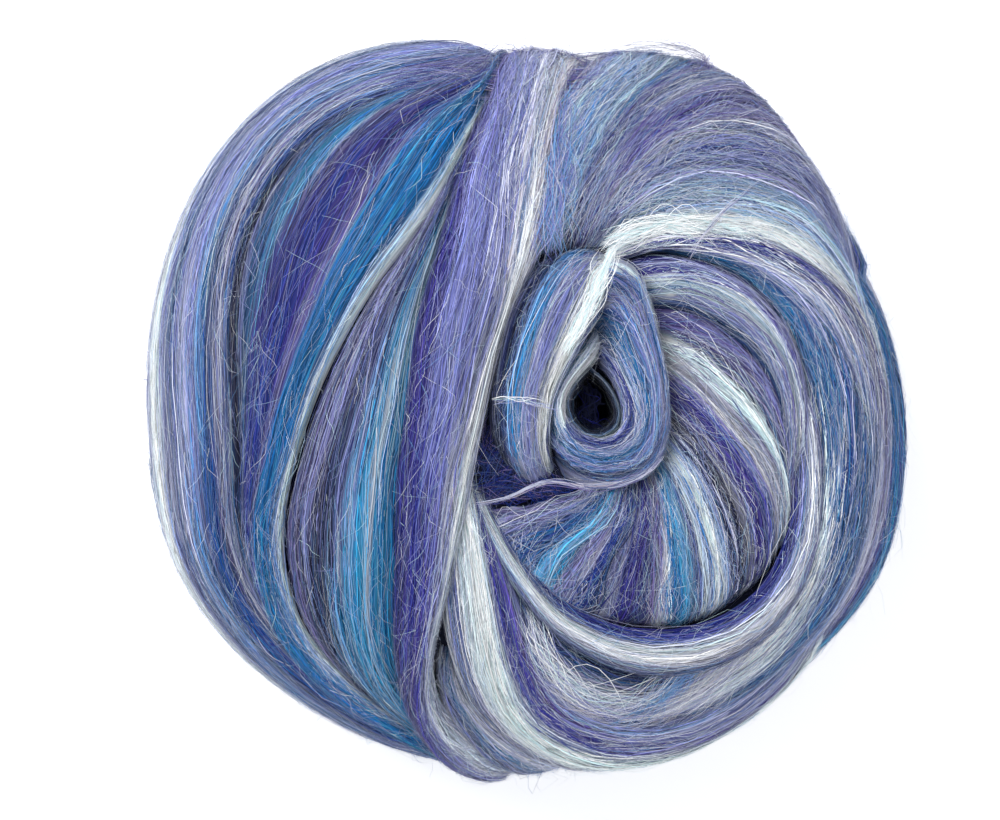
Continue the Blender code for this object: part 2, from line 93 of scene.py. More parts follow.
TURNS = (
    Turn("left_outer", (-4, -1, -4), 3, (LEFT_RIM, LEFT_GAP)),
    Turn("left_blue", (-3, 0, -3), 3, (LEFT_GAP, BLUE_EDGE, WHITE_EDGE)),
    Turn("left_dusty", (-4, -2, -4), 2, (WHITE_EDGE, PURPLE_EDGE)),
    Turn("left_crest", (-3, 1, -3), 4, (PURPLE_EDGE, CREST_LINE, BOWL_EDGE)),
    Turn("top_fan", (-3, 1, -9), 2, (
        "528,256 524,205 534,150 556,100 588,66 628,35 670,5",
        "561,245 572,198 592,148 622,106 660,76 705,48 750,20",
        "577,240 606,182 645,132 695,100 750,102 800,134 828,182 841,230 855,277 871,323 884,368",
        "590,240 630,195 680,168 740,170 793,192 827,232 849,282 867,332 880,385 887,430",
        "603,246 640,230 700,221 770,231 822,262 857,308 876,362 881,440 872,540",
    )),
    Turn("outer_arc", (-3, 0, -8), 3, (
        "598,244 640,219 700,207 770,216 830,255 868,308 889,370 894,440 882,540 850,610 800,670 730,722 650,752",
        "612,253 690,250 750,260 805,293 840,345 855,410 853,490 835,570 797,640 740,693 670,728 600,742",
        "615,250 680,248 733,266 772,302 795,347 809,400 815,450 813,510 800,570 770,620 720,668 655,705 590,712",
    )),
    Turn("right_rim", (-5, -1, -9), 2.5, (
        "832,215 845,255 862,295 876,330 886,370 891,430 884,530 850,615 790,682 730,722 670,750",
        "850,210 885,235 920,290 950,350 962,410 962,470 955,530 915,640 850,725 770,785 690,815",
    )),
    Turn("crescent", (-3, 1, -6), 2, (
        "612,250 690,256 748,283 784,325 804,375 812,420 810,470 798,530",
        "628,278 690,284 740,308 775,350 790,400 795,450 790,510",
        "640,302 695,312 745,345 775,395 787,445 787,500 775,550",
    )),
    Turn("bowl_fan", (-1, 0, -4), 0, (
        "632,296 695,308 748,342 780,392 794,445 798,500 795,560",
        "645,330 690,362 730,400 764,440 784,480 790,530 782,592",
        "655,370 695,405 728,445 757,490 768,530 768,575 756,622",
        "660,410 692,450 715,490 732,530 740,570 736,634",
        "660,435 682,480 698,520 708,560 713,600 710,648",
        "657,450 668,500 674,540 678,585 680,654",
        "648,462 648,510 640,550 632,595 624,652",
        "636,472 622,515 600,550 580,588 558,640",
        "618,480 590,512 560,533 532,552 500,592",
        "596,484 566,498 536,505 505,510 472,520",
    )),
    Turn("bowl_rim", (-7, 2, -6), 3, (
        "468,470 492,515 522,562 560,602 610,624 660,630 715,620 758,592 785,550 797,505 802,450 797,400 780,352",
        "452,475 478,525 510,582 552,632 605,662 665,672 730,655 780,615 808,562 820,505 823,445 814,390 792,335",
    )),
    Turn("sagging", (-8, -3, -8), 2, (
        "464,470 486,530 514,592 555,645 610,678 660,684 715,668 765,630 795,590",
        "444,478 466,548 496,626 537,694 596,733 652,738 716,717 772,666 818,602",
    )),
    Turn("mint_band", (-7, 0, -7), 4, (
        "436,470 438,530 438,590 445,650 468,707 512,747 580,770 660,764 745,730 808,678 850,615",
        "458,470 473,530 484,590 495,650 515,702 560,735 620,748 690,738 762,700 812,648 842,585",
        "468,470 492,530 514,590 535,650 562,698 605,722 655,728 720,706 780,660 822,600 842,535",
    )),
    Turn("tail", (-8, -3, -8), 3, (
        "428,640 430,700 450,748 500,782 570,804 650,812 740,795 825,750 895,680 945,590",
        "446,650 458,705 495,745 555,772 620,774 700,752 775,703 835,640 878,560 895,490",
    )),
    # The pocket sinks into a hollow; its dark navy is partly the wool's own and partly painted shade.
    Turn("pocket", (-12, -12, -9), 2, (
        "484,410 476,450 478,490 492,520",
        "522,400 528,440 542,475 560,495",
    )),
    Turn("hood_left", (-6, 5, -4), 2.5, (
        "600,232 565,240 532,262 508,305 496,355 489,400 490,445 505,490",
        "612,238 588,258 563,288 543,330 530,370 522,410 525,455 540,496",
        "628,248 612,276 598,312 582,343 565,372 552,400 547,440 560,482",
    )),
    Turn("hood_right", (-5, 2.5, -6), 2.5, (
        "573,306 583,277 600,259 621,257 639,272 651,306 658,346 665,390 668,430 658,466 630,486 590,492 545,484",
        "581,326 591,299 606,288 622,297 634,324 645,360 652,400 653,436 636,462 600,471 566,462 546,435 545,402",
        "588,342 600,328 613,346 627,378 638,410 636,436 618,452 592,455 570,444 555,420 553,395 566,372",
        "586,356 598,358 610,376 619,398 623,418 615,434 598,440 579,433 566,417 562,400 568,386 582,378",
    )),
    Turn("curl", (-2, 1.5, -5), 1.5, (
        "606,306 588,334 568,362 553,390 550,420 562,446 588,460 616,458 640,446",
        "611,334 597,358 582,374 569,388 564,404 567,421 580,434 598,440 618,436",
    )),
)

# A turn that crosses the underside as a lune: where the pole that its rails leave stands (degrees from +X,
# and degrees up), the angles that it covers about that pole, counted from straight down, and its lift.
Lune = namedtuple("Lune", "name pole_azimuth pole_tilt start_angle end_angle lift")

LUNES = (
    Lune("under_1", 96, 4, -92, -52, -2.5),
    Lune("under_2", 85, -4, -64, -24, -4),
    Lune("under_3", 97, 3, -34, 4, -2.5),
    Lune("under_4", 85, -3, -8, 32, -4),
    Lune("under_5", 96, 4, 22, 60, -2.5),
    Lune("under_6", 88, 0, 50, 92, -4),
    Lune("wrap_north", 10, 6, 40, 78, -1.5),
    Lune("wrap_south", -8, -5, -80, -42, -1.5),
    Lune("wrap_base", 34, 0, -19, 19, -1),
)
LUNE_CROWN = 4.5
LUNE_RAILS = 5
POLE_MARGIN = 9.0
EDGE_ROLL = 1.4
LIFT_EASE = 0.6
END_DIP = 5.5
END_REACH = 6.0

# How far a turn is tucked down along its first and last rail, in millimetres, over TUCK_SHARE of its width.
TUCKS = {
    "hood_left": (6.0, 0.0), "top_fan": (0.0, 1.0), "left_crest": (0.0, 1.0), "sagging": (0.0, 1.5),
    "left_dusty": (0.5, 1.0),
}
TUCK_SHARE = 0.35

SPLINE_STEPS = 12
RAIL_SAMPLES = 49

# Colours of the wool, as 8-bit screen values.
PALETTE = {
    "white": (247, 249, 250), "silver": (184, 188, 210), "mint": (200, 228, 232), "beige": (199, 192, 200),
    "lilac": (132, 138, 195), "periwinkle": (98, 104, 174), "sky": (104, 156, 208), "cerulean": (10, 94, 160),
    "turquoise": (52, 150, 194), "teal": (20, 82, 126), "royal": (20, 52, 134), "indigo": (32, 38, 126),
    "navy": (16, 22, 62), "violet": (52, 44, 122), "purple": (78, 66, 146), "mauve": (106, 96, 144),
    "slate": (58, 76, 126), "charcoal": (28, 34, 62),
}

# What a stripe is combed from: the colours that lie side by side in it, from one to the next.
BLENDS = {
    "snow": "white white mint white",
    "white": "white silver white beige white mint white",
    "frost": "silver white mint white lilac silver",
    "hair": "mint sky silver white lilac silver",
    "foam": "white mint white sky white",
    "haze": "sky lilac silver lilac periwinkle sky",
    "skyline": "sky cerulean sky lilac sky",
    "bright": "silver white white mint white",
    # shade is painted shade: the dark in the grooves between turns and locks.
    "shade": "navy charcoal slate navy indigo",
    "dusk": "slate charcoal slate lilac slate indigo",
    "royal": "royal cerulean royal indigo royal",
    "indigo": "indigo royal violet indigo",
    "violet": "violet indigo violet purple",
    "crest": "lilac periwinkle lilac purple lilac periwinkle",
    "lilac": "lilac periwinkle silver lilac",
    "cerulean": "cerulean turquoise cerulean cerulean teal cerulean",
    "lagoon": "turquoise cerulean turquoise sky turquoise white",
    "teal": "teal slate cerulean teal turquoise",
    "dusty": "mauve lilac mauve slate mauve charcoal lilac mauve",
    "steel": "teal slate teal royal slate cerulean sky",
    "plum": "purple mauve violet lilac purple slate",
    "heather": "mauve lilac slate silver mauve periwinkle",
    "silver": "silver beige silver white silver lilac",
    "ash": "beige mauve silver slate silver",
    "mint": "mint white mint silver white mint",
    "sand": "beige silver white beige",
    "mist": "sky mint slate sky silver slate",
    # night is painted shade: the dark down in hollows and in the eye.
    "night": "navy charcoal navy indigo navy",
    "tangle": "navy slate indigo charcoal royal mauve",
}

# How pale the fine fibres of a blend are, where that isn't the usual 1.
FROSTING = {
    "cerulean": 0.12, "royal": 0.25, "indigo": 0.25, "violet": 0.35, "crest": 0.4, "lilac": 0.5, "white": 0.3,
    "snow": 0.0, "mint": 0.3, "bright": 0.2, "night": 0.2, "shade": 0.4, "lagoon": 0.6, "dusk": 0.45,
    "steel": 0.5, "teal": 0.35, "plum": 0.7, "dusty": 0.8,
}

# Stripes of each turn, in order across it: the blend, and the share of the turn's width where the stripe
# ends, at the STATIONS along the run or one share for all of it.
STATIONS = (0, 0.25, 0.5, 0.75, 1)
STRIPES = {
    "left_outer": """
        haze .2; steel .34; lilac .42 .44 .48 .45 .42; silver .5 .55 .54 .5 .48; frost .53 .58 .6 .56 .5;
        bright .54 .6 .66 .6 .51; haze .6 .64 .72 .63 .58; steel .66 .7 .75 .65 .62;
        haze .78 .84 .82 .67 .66; skyline .8 .86 .86 .74 .74; dusk .82 .87 .875 .77 .78;
        royal .84 .88 .9 .9 .88; heather .93 .95 .93 .94 .94; steel .95 .97 .96 .97 .97; shade 1""",
    "left_blue": """
        heather .04 .04 .03 .02 .02; steel .14 .14 .12 .1 .1; teal .2 .2 .125 .11 .11;
        lagoon .25 .24 .13 .12 .12; dusty .34 .33 .14 .13 .13; indigo .48 .48 .43 .42 .4;
        plum .56 .54 .54 .46 .44; cerulean .93 .92 .86 .87 .88; skyline .945 .935 .89 .91 .92; foam 1""",
    "left_dusty": """
        dusty .6 .62 .38 .2 .08; shade .7 .74 .5 .34 .15; dusk .76 .82 .6 .38 .2; skyline .8 .87 .7 .47 .5;
        lagoon .86 .92 .8 .7 .74; bright .88 .935 .84 .73 .76; lagoon .9 .95 .92 .92 .9;
        cerulean .96 .98 .97 .96 .95; teal 1""",
    # The bright silver band by the crest's edge is partly the wool's colour and partly a painted highlight.
    "left_crest": """
        indigo .12 .03 .06 .2 .18; violet .2 .06 .22 .56 .48; crest .34 .34 .4 .66 .6;
        lilac .44 .46 .54 .72 .7; crest .5 .54 .64 .76 .74; silver .6 .64 .72 .84 .82;
        haze .66 .7 .73 .85 .84; bright .67 .75 .92 .93 .9; silver .74 .88 .98 .98 .96;
        ash .86 .95 .99 .99 .99; haze 1""",
    "top_fan": """
        ash .04; haze .08; mist .14; skyline .18; mist .215; teal .23; mist .26; steel .3; plum .33;
        violet .37; dusk .4; heather .45; plum .48; dusty .53; violet .58; plum .62; ash .67; heather .7;
        indigo .72; dusk .76; heather .82; mist .9 .935 .94 .93 .93; mint .96 .97 .96 .95 .95;
        teal .97 .99 .98 .97 .97; snow 1""",
    "outer_arc": """
        snow .48 .27 .045 .02 .01; ash .52 .3 .08 .16 .2; violet .64 .46 .12 .18 .22;
        dusty .68 .5 .24 .26 .28; sand .76 .64 .27 .33 .38; haze .84 .74 .36 .41 .46;
        steel .95 .86 .74 .52 .5; teal .97 .96 .9 .54 .52; shade .99 1 .92 .55 .53;
        haze 1 1 .95 .65 .62; frost 1""",
    "right_rim": """
        cerulean .3 .24 .06 .02 .02; violet .34 .28 .1 .12 .12; cerulean .44 .36 .3 .26 .24;
        lagoon .46 .4 .36 .3 .28; royal .5; indigo .62; haze .76; dusk .86; frost 1""",
    "crescent": """
        violet .2 .2 .12 .04 .04; lilac .27 .27 .22 .28 .3; violet .45 .44 .34 .32 .32;
        snow .59 .56 .44 .4 .4; cerulean .72 .67 .52 .48 .48; snow .8 .74 .58 .52 .52; heather .88;
        steel .94; dusk 1""",
    "bowl_fan": """
        plum .05; heather .065; shade .085; snow .12; violet .135; sand .15; shade .16; white .175;
        dusty .21; violet .26; dusty .29; silver .3; shade .34; heather .37; skyline .4; snow .425;
        skyline .455; snow .475; dusk .51; lagoon .55; cerulean .58; snow .595; plum .63; shade .65;
        violet .7; heather .73; shade .745; royal .79; heather .83; lagoon .87; steel .93; heather 1""",
    "bowl_rim": """
        violet .06 .08 .08 .04 .02; indigo .1 .18 .2 .08 .04; heather .16 .24 .26 .34 .36;
        bright .38 .36 .31 .37 .4; sand .54 .54 .5 .49 .5; ash .6; heather .72; steel .86; dusk 1""",
    "sagging": "shade .1; steel .22; ash .32; mist .44; dusk .54; sand .6; plum .74; heather .88; steel 1",
    "mint_band": """
        silver .08; dusk .16; heather .22; mint .34 .34 .3 .32 .34; snow .58 .6 .54 .46 .42;
        dusk .63 .63 .6 .5 .46; bright .66 .66 .63 .56 .52; violet .84 .84 .8 .62 .56;
        plum .93 .93 .9 .68 .6; haze .94 .94 .93 .94 .94; dusk 1""",
    "tail": "silver .16; frost .28; haze .4; dusk .56; teal .68; silver .84; heather 1",
    "pocket": "night .6; shade 1",
    "hood_left": """
        dusk .1; shade .2; dusk .25; skyline .32 .33 .34 .33 .3; cerulean .35 .37 .38 .36 .32;
        haze .5 .48 .48 .48 .48; lilac .56 .6 .66 .76 .8; frost .64 .68 .76 .82 .84; snow .8 .86 .9 .9 .9;
        mint 1 1 .95 .93 .93; haze 1""",
    "hood_right": """
        mint .3 .14 .02 0 0; haze .38 .22 .1 .1 .1; steel .46 .3 .2 .18 .18; heather .52 .38 .3 .28 .26;
        steel .62 .5 .42 .4 .38; haze .66 .56 .48 .46 .44; teal .74 .68 .58 .56 .52;
        cerulean .78 .72 .64 .66 .64; heather .84 .8 .78 .74 .72; dusk .92 .94 .94 .94 .94; haze 1""",
    "curl": """
        teal .06 .08 .16 .24 .24; cerulean .1 .14 .26 .4 .44; haze .3 .3 .4 .56 .6; mint .66 .6 .62 .7 .74;
        white .86 .84 .86 .86 .84; mint 1""",
    # The throat's stripes darken down into the eye, as painted shade.
    "throat": "mist .2; steel .4; dusk .6; night 1",
}
UNDER_BLENDS = "haze dusk lilac cerulean heather silver indigo skyline dusty frost royal teal".split()
STRIPE_WIDTH = 7.0
FEWEST_STRIPES = 3
STRIPE_SIZES = (0.5, 1.6)

# The wool round the eye turns down into it: plan pixels of its upper rail, and its form below that.
THROAT_RAIL = "588,368 604,380 617,400 621,418 612,433 594,439 577,432 566,416 564,400 572,385 588,368"
THROAT_ROWS = 24
THROAT_LIFT = 1.5
THROAT_DEPTH = 20.0
THROAT_NARROWING = 0.35
DEPTH_CURVE = 1.3
NARROWING_CURVE = 1.6
THROAT_LEAN = 0.4
# Its light falls from the lip to the bottom: the least, how much more at the lip, and how fast it falls.
THROAT_LIGHT = (0.02, 0.9, 2.2)

# Loose wisps on top of the turns: the blend, the number of hairs, how far they spread, their height over the
# ball's own form, and the plan pixels of their run.
Wisp = namedtuple("Wisp", "blend count spread height run")
WISPS = (
    Wisp("dusty", 70, 1.5, 1.5, "598,66 618,52 645,46 680,50 703,58 706,70 690,78 668,66 664,56"),
    Wisp("heather", 60, 1.4, 0.5, "610,70 640,58 672,62 700,80 722,96"),
    Wisp("plum", 260, 3.4, 1.6, "400,88 460,74 520,70 580,78 650,88 720,116"),
    Wisp("ash", 260, 2.8, 1.2, "440,74 490,70 550,72 610,78 670,84 740,114"),
    Wisp("snow", 110, 0.9, 8.0, "606,262 597,285 586,310 574,334 562,356"),
    Wisp("plum", 60, 1.6, 2.5, "706,60 694,84 668,108 640,132 618,158"),
    Wisp("haze", 170, 3.2, 2.0, "566,84 556,120 550,170 546,220 548,256"),
    # This wisp's white on the hub is partly white wool and partly a painted highlight of the fibres' sheen.
    Wisp("snow", 150, 1.5, 2.0, "604,246 640,230 690,230 745,238"),
    Wisp("silver", 100, 2.8, 1.0, "512,640 545,690 600,716 660,712 715,680 745,640"),
    Wisp("frost", 90, 2.4, 1.3, "530,610 548,660 590,700 640,700 676,668"),
    Wisp("skyline", 70, 1.8, 1.0, "612,726 650,706 684,676 712,640"),
    Wisp("silver", 110, 3.0, 1.0, "806,470 812,530 802,590 775,640 735,684 690,716"),
    Wisp("ash", 34, 0.45, 5.2, "478,500 505,495 545,478 590,484 635,474 655,455"),
    Wisp("ash", 9, 0.7, 3.2, "682,262 705,232 722,212 750,188"),
    Wisp("tangle", 170, 3.4, -4.0, "488,420 484,450 500,462 515,440 500,470 492,500"),
    Wisp("tangle", 190, 2.6, -3.0, "480,500 500,492 520,488 548,492 576,500"),
    Wisp("frost", 12, 0.5, 8.0, "492,402 515,400 535,403 556,410"),
    # Dark hairs down in the eye, as painted shade.
    Wisp("night", 40, 2.0, -8.0, "590,385 600,400 590,415 600,428 612,436"),
)
WISP_STEPS = 12
WISP_SAMPLES = 61
WISP_WIDTH = (0.06, 0.13)
WISP_WAVES = (0.3, 0.7, 1.2)
WISP_REACH = 0.985
WISP_THICKNESS = 0.35
THICKNESS_WAVES = (0.7, 1.4)
WISP_THINNING = 0.7
WISP_ROLL = 0.3
SHORTENED_SHARE = 0.7
MOST_SHORTENED = 0.45

# Combed fibres.  Lengths, widths and heights are in millimetres.  A share of them is fine: thinner, paler,
# further from its line and a little above the others.  Dark ones among the rest are painted shade between fibres.
FIBRES_ON_TOP = 21000
FIBRES_BELOW = 4400
FIBRE_STEPS = 10
FIBRE_LENGTH = (40.0, 105.0)
LONGEST_SHARE = 0.95
FIBRE_WIDTH = (0.12, 0.25)
FIBRE_HEIGHT = 0.14
FIBRE_WAVES = (0.5, 1.0, 1.7)
FIBRE_ROLL = 0.18
ROLL_CHANGE = 0.2
ROLL_WAVES = (0.5, 1.3)
RUN_PLACES = (-0.02, 1.02)
PLACE_LIMITS = (0.004, 0.996)
FIBRE_WANDER = {
    "left_crest": 1.1, "top_fan": 1.8, "bowl_fan": 1.1, "sagging": 1.5, "outer_arc": 1.2, "pocket": 3.0,
    "hood_right": 1.3, "curl": 0.5,
}
USUAL_WANDER = 0.75
LEAST_ROOM = 5
FULL_ROOM = 10
LEAST_WANDER = 0.2
FINE_SHARE = 0.34
FINE_WIDTH = 0.42
FINE_WANDER = (1.5, 4.0)
FINE_LIFT = (0.05, 0.35)
PALENESS = (0.25, 0.9)
DARK_SHARE = 0.16
LEAST_DARK = 0.5
DARKNESS = 0.42
BRIGHTNESS_SPREAD = 0.3
BRIGHTEST = 0.36
# Painted shade on the fibres by their height over the turn: lower ones darker, higher ones lighter, within
# LIGHT_LIMITS.
HEIGHT_LIGHT = 0.12
LIGHT_LIMITS = (0.9, 1.15)
END_POWER = 6
END_SINK = 0.3
END_THINNING = 0.75
LEAST_HEIGHT = 0.06

# Loose hairs that cross the turns, and the halo of them that stands off the sides.  steepest is the most
# that the wool under a hair may face up or down.
Fuzz = namedtuple("Fuzz", "count steps stand_off longest paleness steepest")
LOOSE_HAIRS = Fuzz(19400, 5, 0.6, 17, 0.9, 1.0)
HALO = (Fuzz(10010, 4, 1.5, 11, 0.6, 0.35), Fuzz(4290, 4, 2.2, 18, 0.6, 0.7))
FUZZ_SHARE = {
    "top_fan": 2.2, "outer_arc": 1.4, "bowl_fan": 1.5, "sagging": 1.8, "pocket": 0.7, "mint_band": 1.3,
}
FUZZ_WIDTH = (0.035, 0.085)
FUZZ_TRIES = 8
HAIRS_ACROSS = (0.01, 0.99)
HAIRS_ALONG = (0.02, 0.98)
FREE_SHARE = 0.5
LENGTH_SHAPE = 2.6
LENGTH_PARTS = 7
SHORTEST = 2.5
HEADING_SPREAD = 0.4
CROSSING_SHARE = 0.25
CROSSING_SPREAD = 2.5
BOW = 0.14
BOW_WAVES = (0.5, 0.9)
HAIR_HEIGHT = 0.35
HAIR_HEIGHTS = (0.2, 7.0)
HEIGHT_GAMMA = (1.4, 0.6)
FREE_RISE = 1.6
TALL_LENGTH = 14
HAIR_ROLL = 0.6
HAIR_THINNING = 0.6
LEAST_PALENESS = 0.1
FEWEST_STRANDS = 40

# The turns' sheets.  A stripe FULL_STRIPE wide is crowned by LOCK_CROWN, and finer ripples run along it.
ROW_WIDTH = 0.8
ROW_WIDTH_BELOW = 1.3
FEWEST_ROWS = 13
MOST_ROWS = 90
EDGE_WIDTH = 1.3
LOCK_CROWN = 0.9
FULL_STRIPE = 7
FULLNESS_LIMITS = (0.1, 1.3)
RIPPLE_HEIGHT = 0.25
RIPPLE_WIDTH = 3.2
RIPPLE_OCTAVES = (1.0, 1.9, 3.1)
FEWEST_RIPPLES = 1.5
OCTAVE_STRETCH = 1.6
RIPPLED_WIDTH = 14
LEAST_RIPPLE = 0.1
DRIFT = 0.5
PHASES = 6.3
TAU = 2 * math.pi

# Streaks in a turn's colour: how wide they are across it and how long along it, in millimetres, and how
# strong.  The first kind is in its brightness, the second in where it is in its blend, and the third moves
# the borders between stripes, less so on a turn narrower than STEADY_WIDTH.
Streak = namedtuple("Streak", "width length strength")
BRIGHT_STREAKS = (Streak(0.4, 22, 0.14), Streak(0.9, 30, 0.15), Streak(2.4, 40, 0.12), Streak(8.0, 40, 0.08))
BLEND_STREAKS = (Streak(0.5, 25, 0.55), Streak(1.3, 40, 0.65), Streak(4.0, 55, 0.5))
BORDER_STREAKS = (Streak(0.8, 25, 0.5), Streak(3.0, 40, 0.7), Streak(12.0, 60, 0.3))
STREAK_ROWS = (3, 240)
STREAK_COLUMNS = (3, 16)
BORDER_SOFTNESS = 0.5
STEADY_WIDTH = 26.0
LEAST_SHIFT = 0.35
NARROWEST = 6
# Painted shade in the creases along the borders between stripes and along a turn's edges: how dark it is at most,
# and how far it reaches from a border and from an edge.
CREASE_SHADE = 0.2
BORDER_REACH = 0.6
EDGE_REACH = 0.8
# A turn's own surface, between its fibres, is painted darker than they are, as the shade under them, and least so
# where it is bright.
SHADE_UNDER_FIBRES = (0.58, 0.4)

# Random seeds.
TURN_SEED = 100
THROAT_SEED = 180
LUNE_SEED = 200
STRAND_SEED = 31


def linear(colour):
    """An 8-bit screen colour as linear light."""
    share = np.asarray(colour, float) / 255
    return np.where(share <= 0.04045, share / 12.92, ((share + 0.055) / 1.055) ** 2.4)


COLOURS = {name: linear(colour) for name, colour in PALETTE.items()}
BLEND_COLOURS = {name: np.array([COLOURS[part] for part in parts.split()]) for name, parts in BLENDS.items()}
PALE_HAIRS = BLEND_COLOURS["hair"]


def pairs(row):
    """Pairs of numbers, such as plan pixels, from their row of text."""
    return np.array([pair.split(",") for pair in row.split()], float)


OUTLINE_TABLE = pairs(OUTLINE)


def read_stripes(name):
    """A turn's stripes, from their text: each blend, and where it ends at all STATIONS or at each."""
    entries = [entry.split() for entry in STRIPES[name].split(";")]
    return [(blend, [float(end) for end in ends]) for blend, *ends in entries]


def at_share(values, share):
    """What evenly spaced values are at these shares of their row."""
    return np.interp(share, np.linspace(0, 1, len(values)), values)


# ---- The ball's form ----

def plan_point(pixel):
    """The plan place of a pixel, in millimetres from the ball's middle."""
    pixel = np.asarray(pixel, float)
    return (pixel - PLAN_CENTRE) * (PX, -PX)


def outline_radius(azimuth):
    """The outline's radius at these azimuths, in radians, on a smooth closed curve through its table."""
    table = OUTLINE_TABLE
    degrees = np.degrees(azimuth) % 360.0
    after = np.searchsorted(table[:, 0], degrees, side="right")
    count = len(table)
    knots = [(after + step) % count for step in (-2, -1, 0, 1)]
    start, end = table[knots[1], 0], table[knots[2], 0]
    span = (end - start) % 360.0
    part = ((degrees - start) % 360.0) / span
    r0, r1, r2, r3 = (table[knot, 1] for knot in knots)
    slope_in = (r2 - r0) / 2
    slope_out = (r3 - r1) / 2
    square, cube = part**2, part**3
    return (
        (2 * cube - 3 * square + 1) * r1 + (cube - 2 * square + part) * slope_in
        + (3 * square - 2 * cube) * r2 + (cube - square) * slope_out
    )


def unit(vectors):
    return vectors / np.maximum(np.linalg.norm(vectors, axis=-1, keepdims=True), 1e-9)


def direction_of_plan(plan):
    """Unit directions of plan points.  One outside the outline is folded over onto the underside."""
    azimuth = np.arctan2(plan[..., 1], plan[..., 0])
    share = np.hypot(plan[..., 0], plan[..., 1]) / outline_radius(azimuth)
    reach = np.where(share <= 1, share, 2 - share)
    height = np.sqrt(np.maximum(1 - reach**2, 0)) * np.where(share <= 1, 1, -1)
    return np.stack([reach * np.cos(azimuth), reach * np.sin(azimuth), height], axis=-1)


def bowl_drop(x, y):
    """How far the bowl round the eye sinks the top at a plan place."""
    centre = plan_point(BOWL_PIXEL)
    reach = ((x - centre[0]) / BOWL_RADII[0]) ** 2 + ((y - centre[1]) / BOWL_RADII[1]) ** 2
    return BOWL_DEPTH * np.clip(1 - reach, 0, 1) ** BOWL_CURVE


def ball_surface(directions, lift=0.0):
    """Points of the ball's own form in these directions, raised by lift along its normal."""
    azimuth = np.arctan2(directions[..., 1], directions[..., 0])
    radius = outline_radius(azimuth) - FULLNESS_OF_TURNS
    up = directions[..., 2]
    half_height = np.where(up > 0, CROWN_ABOVE_WAIST, BASE_BELOW_WAIST)
    points = np.stack(
        [directions[..., 0] * radius, directions[..., 1] * radius, WAIST_HEIGHT + up * half_height], axis=-1
    )
    points += BOX_OFFSET
    normals = unit(directions / np.stack([radius, radius, half_height], axis=-1))
    points[..., 2] -= np.where(up > 0, bowl_drop(points[..., 0], points[..., 1]), 0)
    points = points + normals * np.asarray(lift)[..., None]
    points[..., 2] = np.maximum(points[..., 2], 0)
    return points, normals


def spline(points, samples):
    """A smooth curve through points, as this many evenly spaced ones."""
    points = np.asarray(points, float)
    padded = np.concatenate([[2 * points[0] - points[1]], points, [2 * points[-1] - points[-2]]])
    fine = []
    for p0, p1, p2, p3 in zip(padded, padded[1:], padded[2:], padded[3:]):
        t = np.linspace(0, 1, SPLINE_STEPS, endpoint=False)[:, None]
        fine.append(0.5 * (2 * p1 + (p2 - p0) * t + (2 * p0 - 5 * p1 + 4 * p2 - p3) * t**2
                           + (3 * p1 - p0 - 3 * p2 + p3) * t**3))
    fine = np.concatenate(fine + [points[-1:]])
    length = np.concatenate([[0], np.cumsum(np.linalg.norm(np.diff(fine, axis=0), axis=1))])
    even = np.linspace(0, length[-1], samples)
    return np.stack([np.interp(even, length, column) for column in fine.T], axis=-1)


def rail_directions(rail):
    return unit(spline(direction_of_plan(plan_point(pairs(rail))), RAIL_SAMPLES))


def lune_rails(lune):
    """The rails of a turn that crosses the underside, from pole to pole."""
    azimuth, tilt = math.radians(lune.pole_azimuth), math.radians(lune.pole_tilt)
    pole = np.array([math.cos(azimuth) * math.cos(tilt), math.sin(azimuth) * math.cos(tilt), math.sin(tilt)])
    down = unit(np.array([0, 0, -1.0]) + pole * pole[2])
    side = np.cross(pole, down)
    run = np.radians(np.linspace(POLE_MARGIN, 180 - POLE_MARGIN, RAIL_SAMPLES))[:, None]
    rails = []
    for angle in np.radians(np.linspace(lune.start_angle, lune.end_angle, LUNE_RAILS)):
        across = down * math.cos(angle) + side * math.sin(angle)
        rails.append(np.cos(run) * pole + np.sin(run) * across)
    return rails


def blend_rails(rails, rows):
    """Directions over a turn, as a grid with a row of points along each fibre line."""
    place = np.linspace(0, len(rails) - 1, rows)
    first = np.minimum(place.astype(int), len(rails) - 2)
    part = (place - first)[:, None, None]
    rails = np.array(rails)
    return unit(rails[first] * (1 - part) + rails[first + 1] * part)


def turn_lift(name, lift, crown, rows, width, run_length):
    """Heights over a turn's grid: its lift along the run, its crown across it, its rolled-down edges and its
    ends that dip under the turns beside them."""
    run = np.linspace(0, 1, RAIL_SAMPLES)
    start, middle, end = lift
    rise = np.sin(np.pi * run) ** LIFT_EASE
    along = np.where(run < 0.5, start, end) * (1 - rise) + middle * rise
    along -= END_DIP * np.exp(-((np.minimum(run, 1 - run) * run_length / END_REACH) ** 2))
    across = np.linspace(0, 1, rows)
    edge = np.clip(np.minimum(across, 1 - across)[:, None] * width[None, :] / EDGE_WIDTH, 0, 1)
    tucks = TUCKS.get(name, (0, 0))
    tucked = sum(tuck * np.clip(1 - side / TUCK_SHARE, 0, 1) ** 2
                 for tuck, side in zip(tucks, (across, 1 - across)))
    profile = crown * (1 - (2 * across - 1) ** 2) - tucked
    return along[None, :] + profile[:, None] - EDGE_ROLL * (1 - edge) ** 2


# ---- The turns with their stripes ----

Sheet = namedtuple("Sheet", "name points normals blends ends run_length width area streaks")


def stripe_ends(stripes):
    """Where each stripe ends across the turn, at the STATIONS: a row for each stripe."""
    return np.array([np.broadcast_to(end, len(STATIONS)) for _, end in stripes], float)


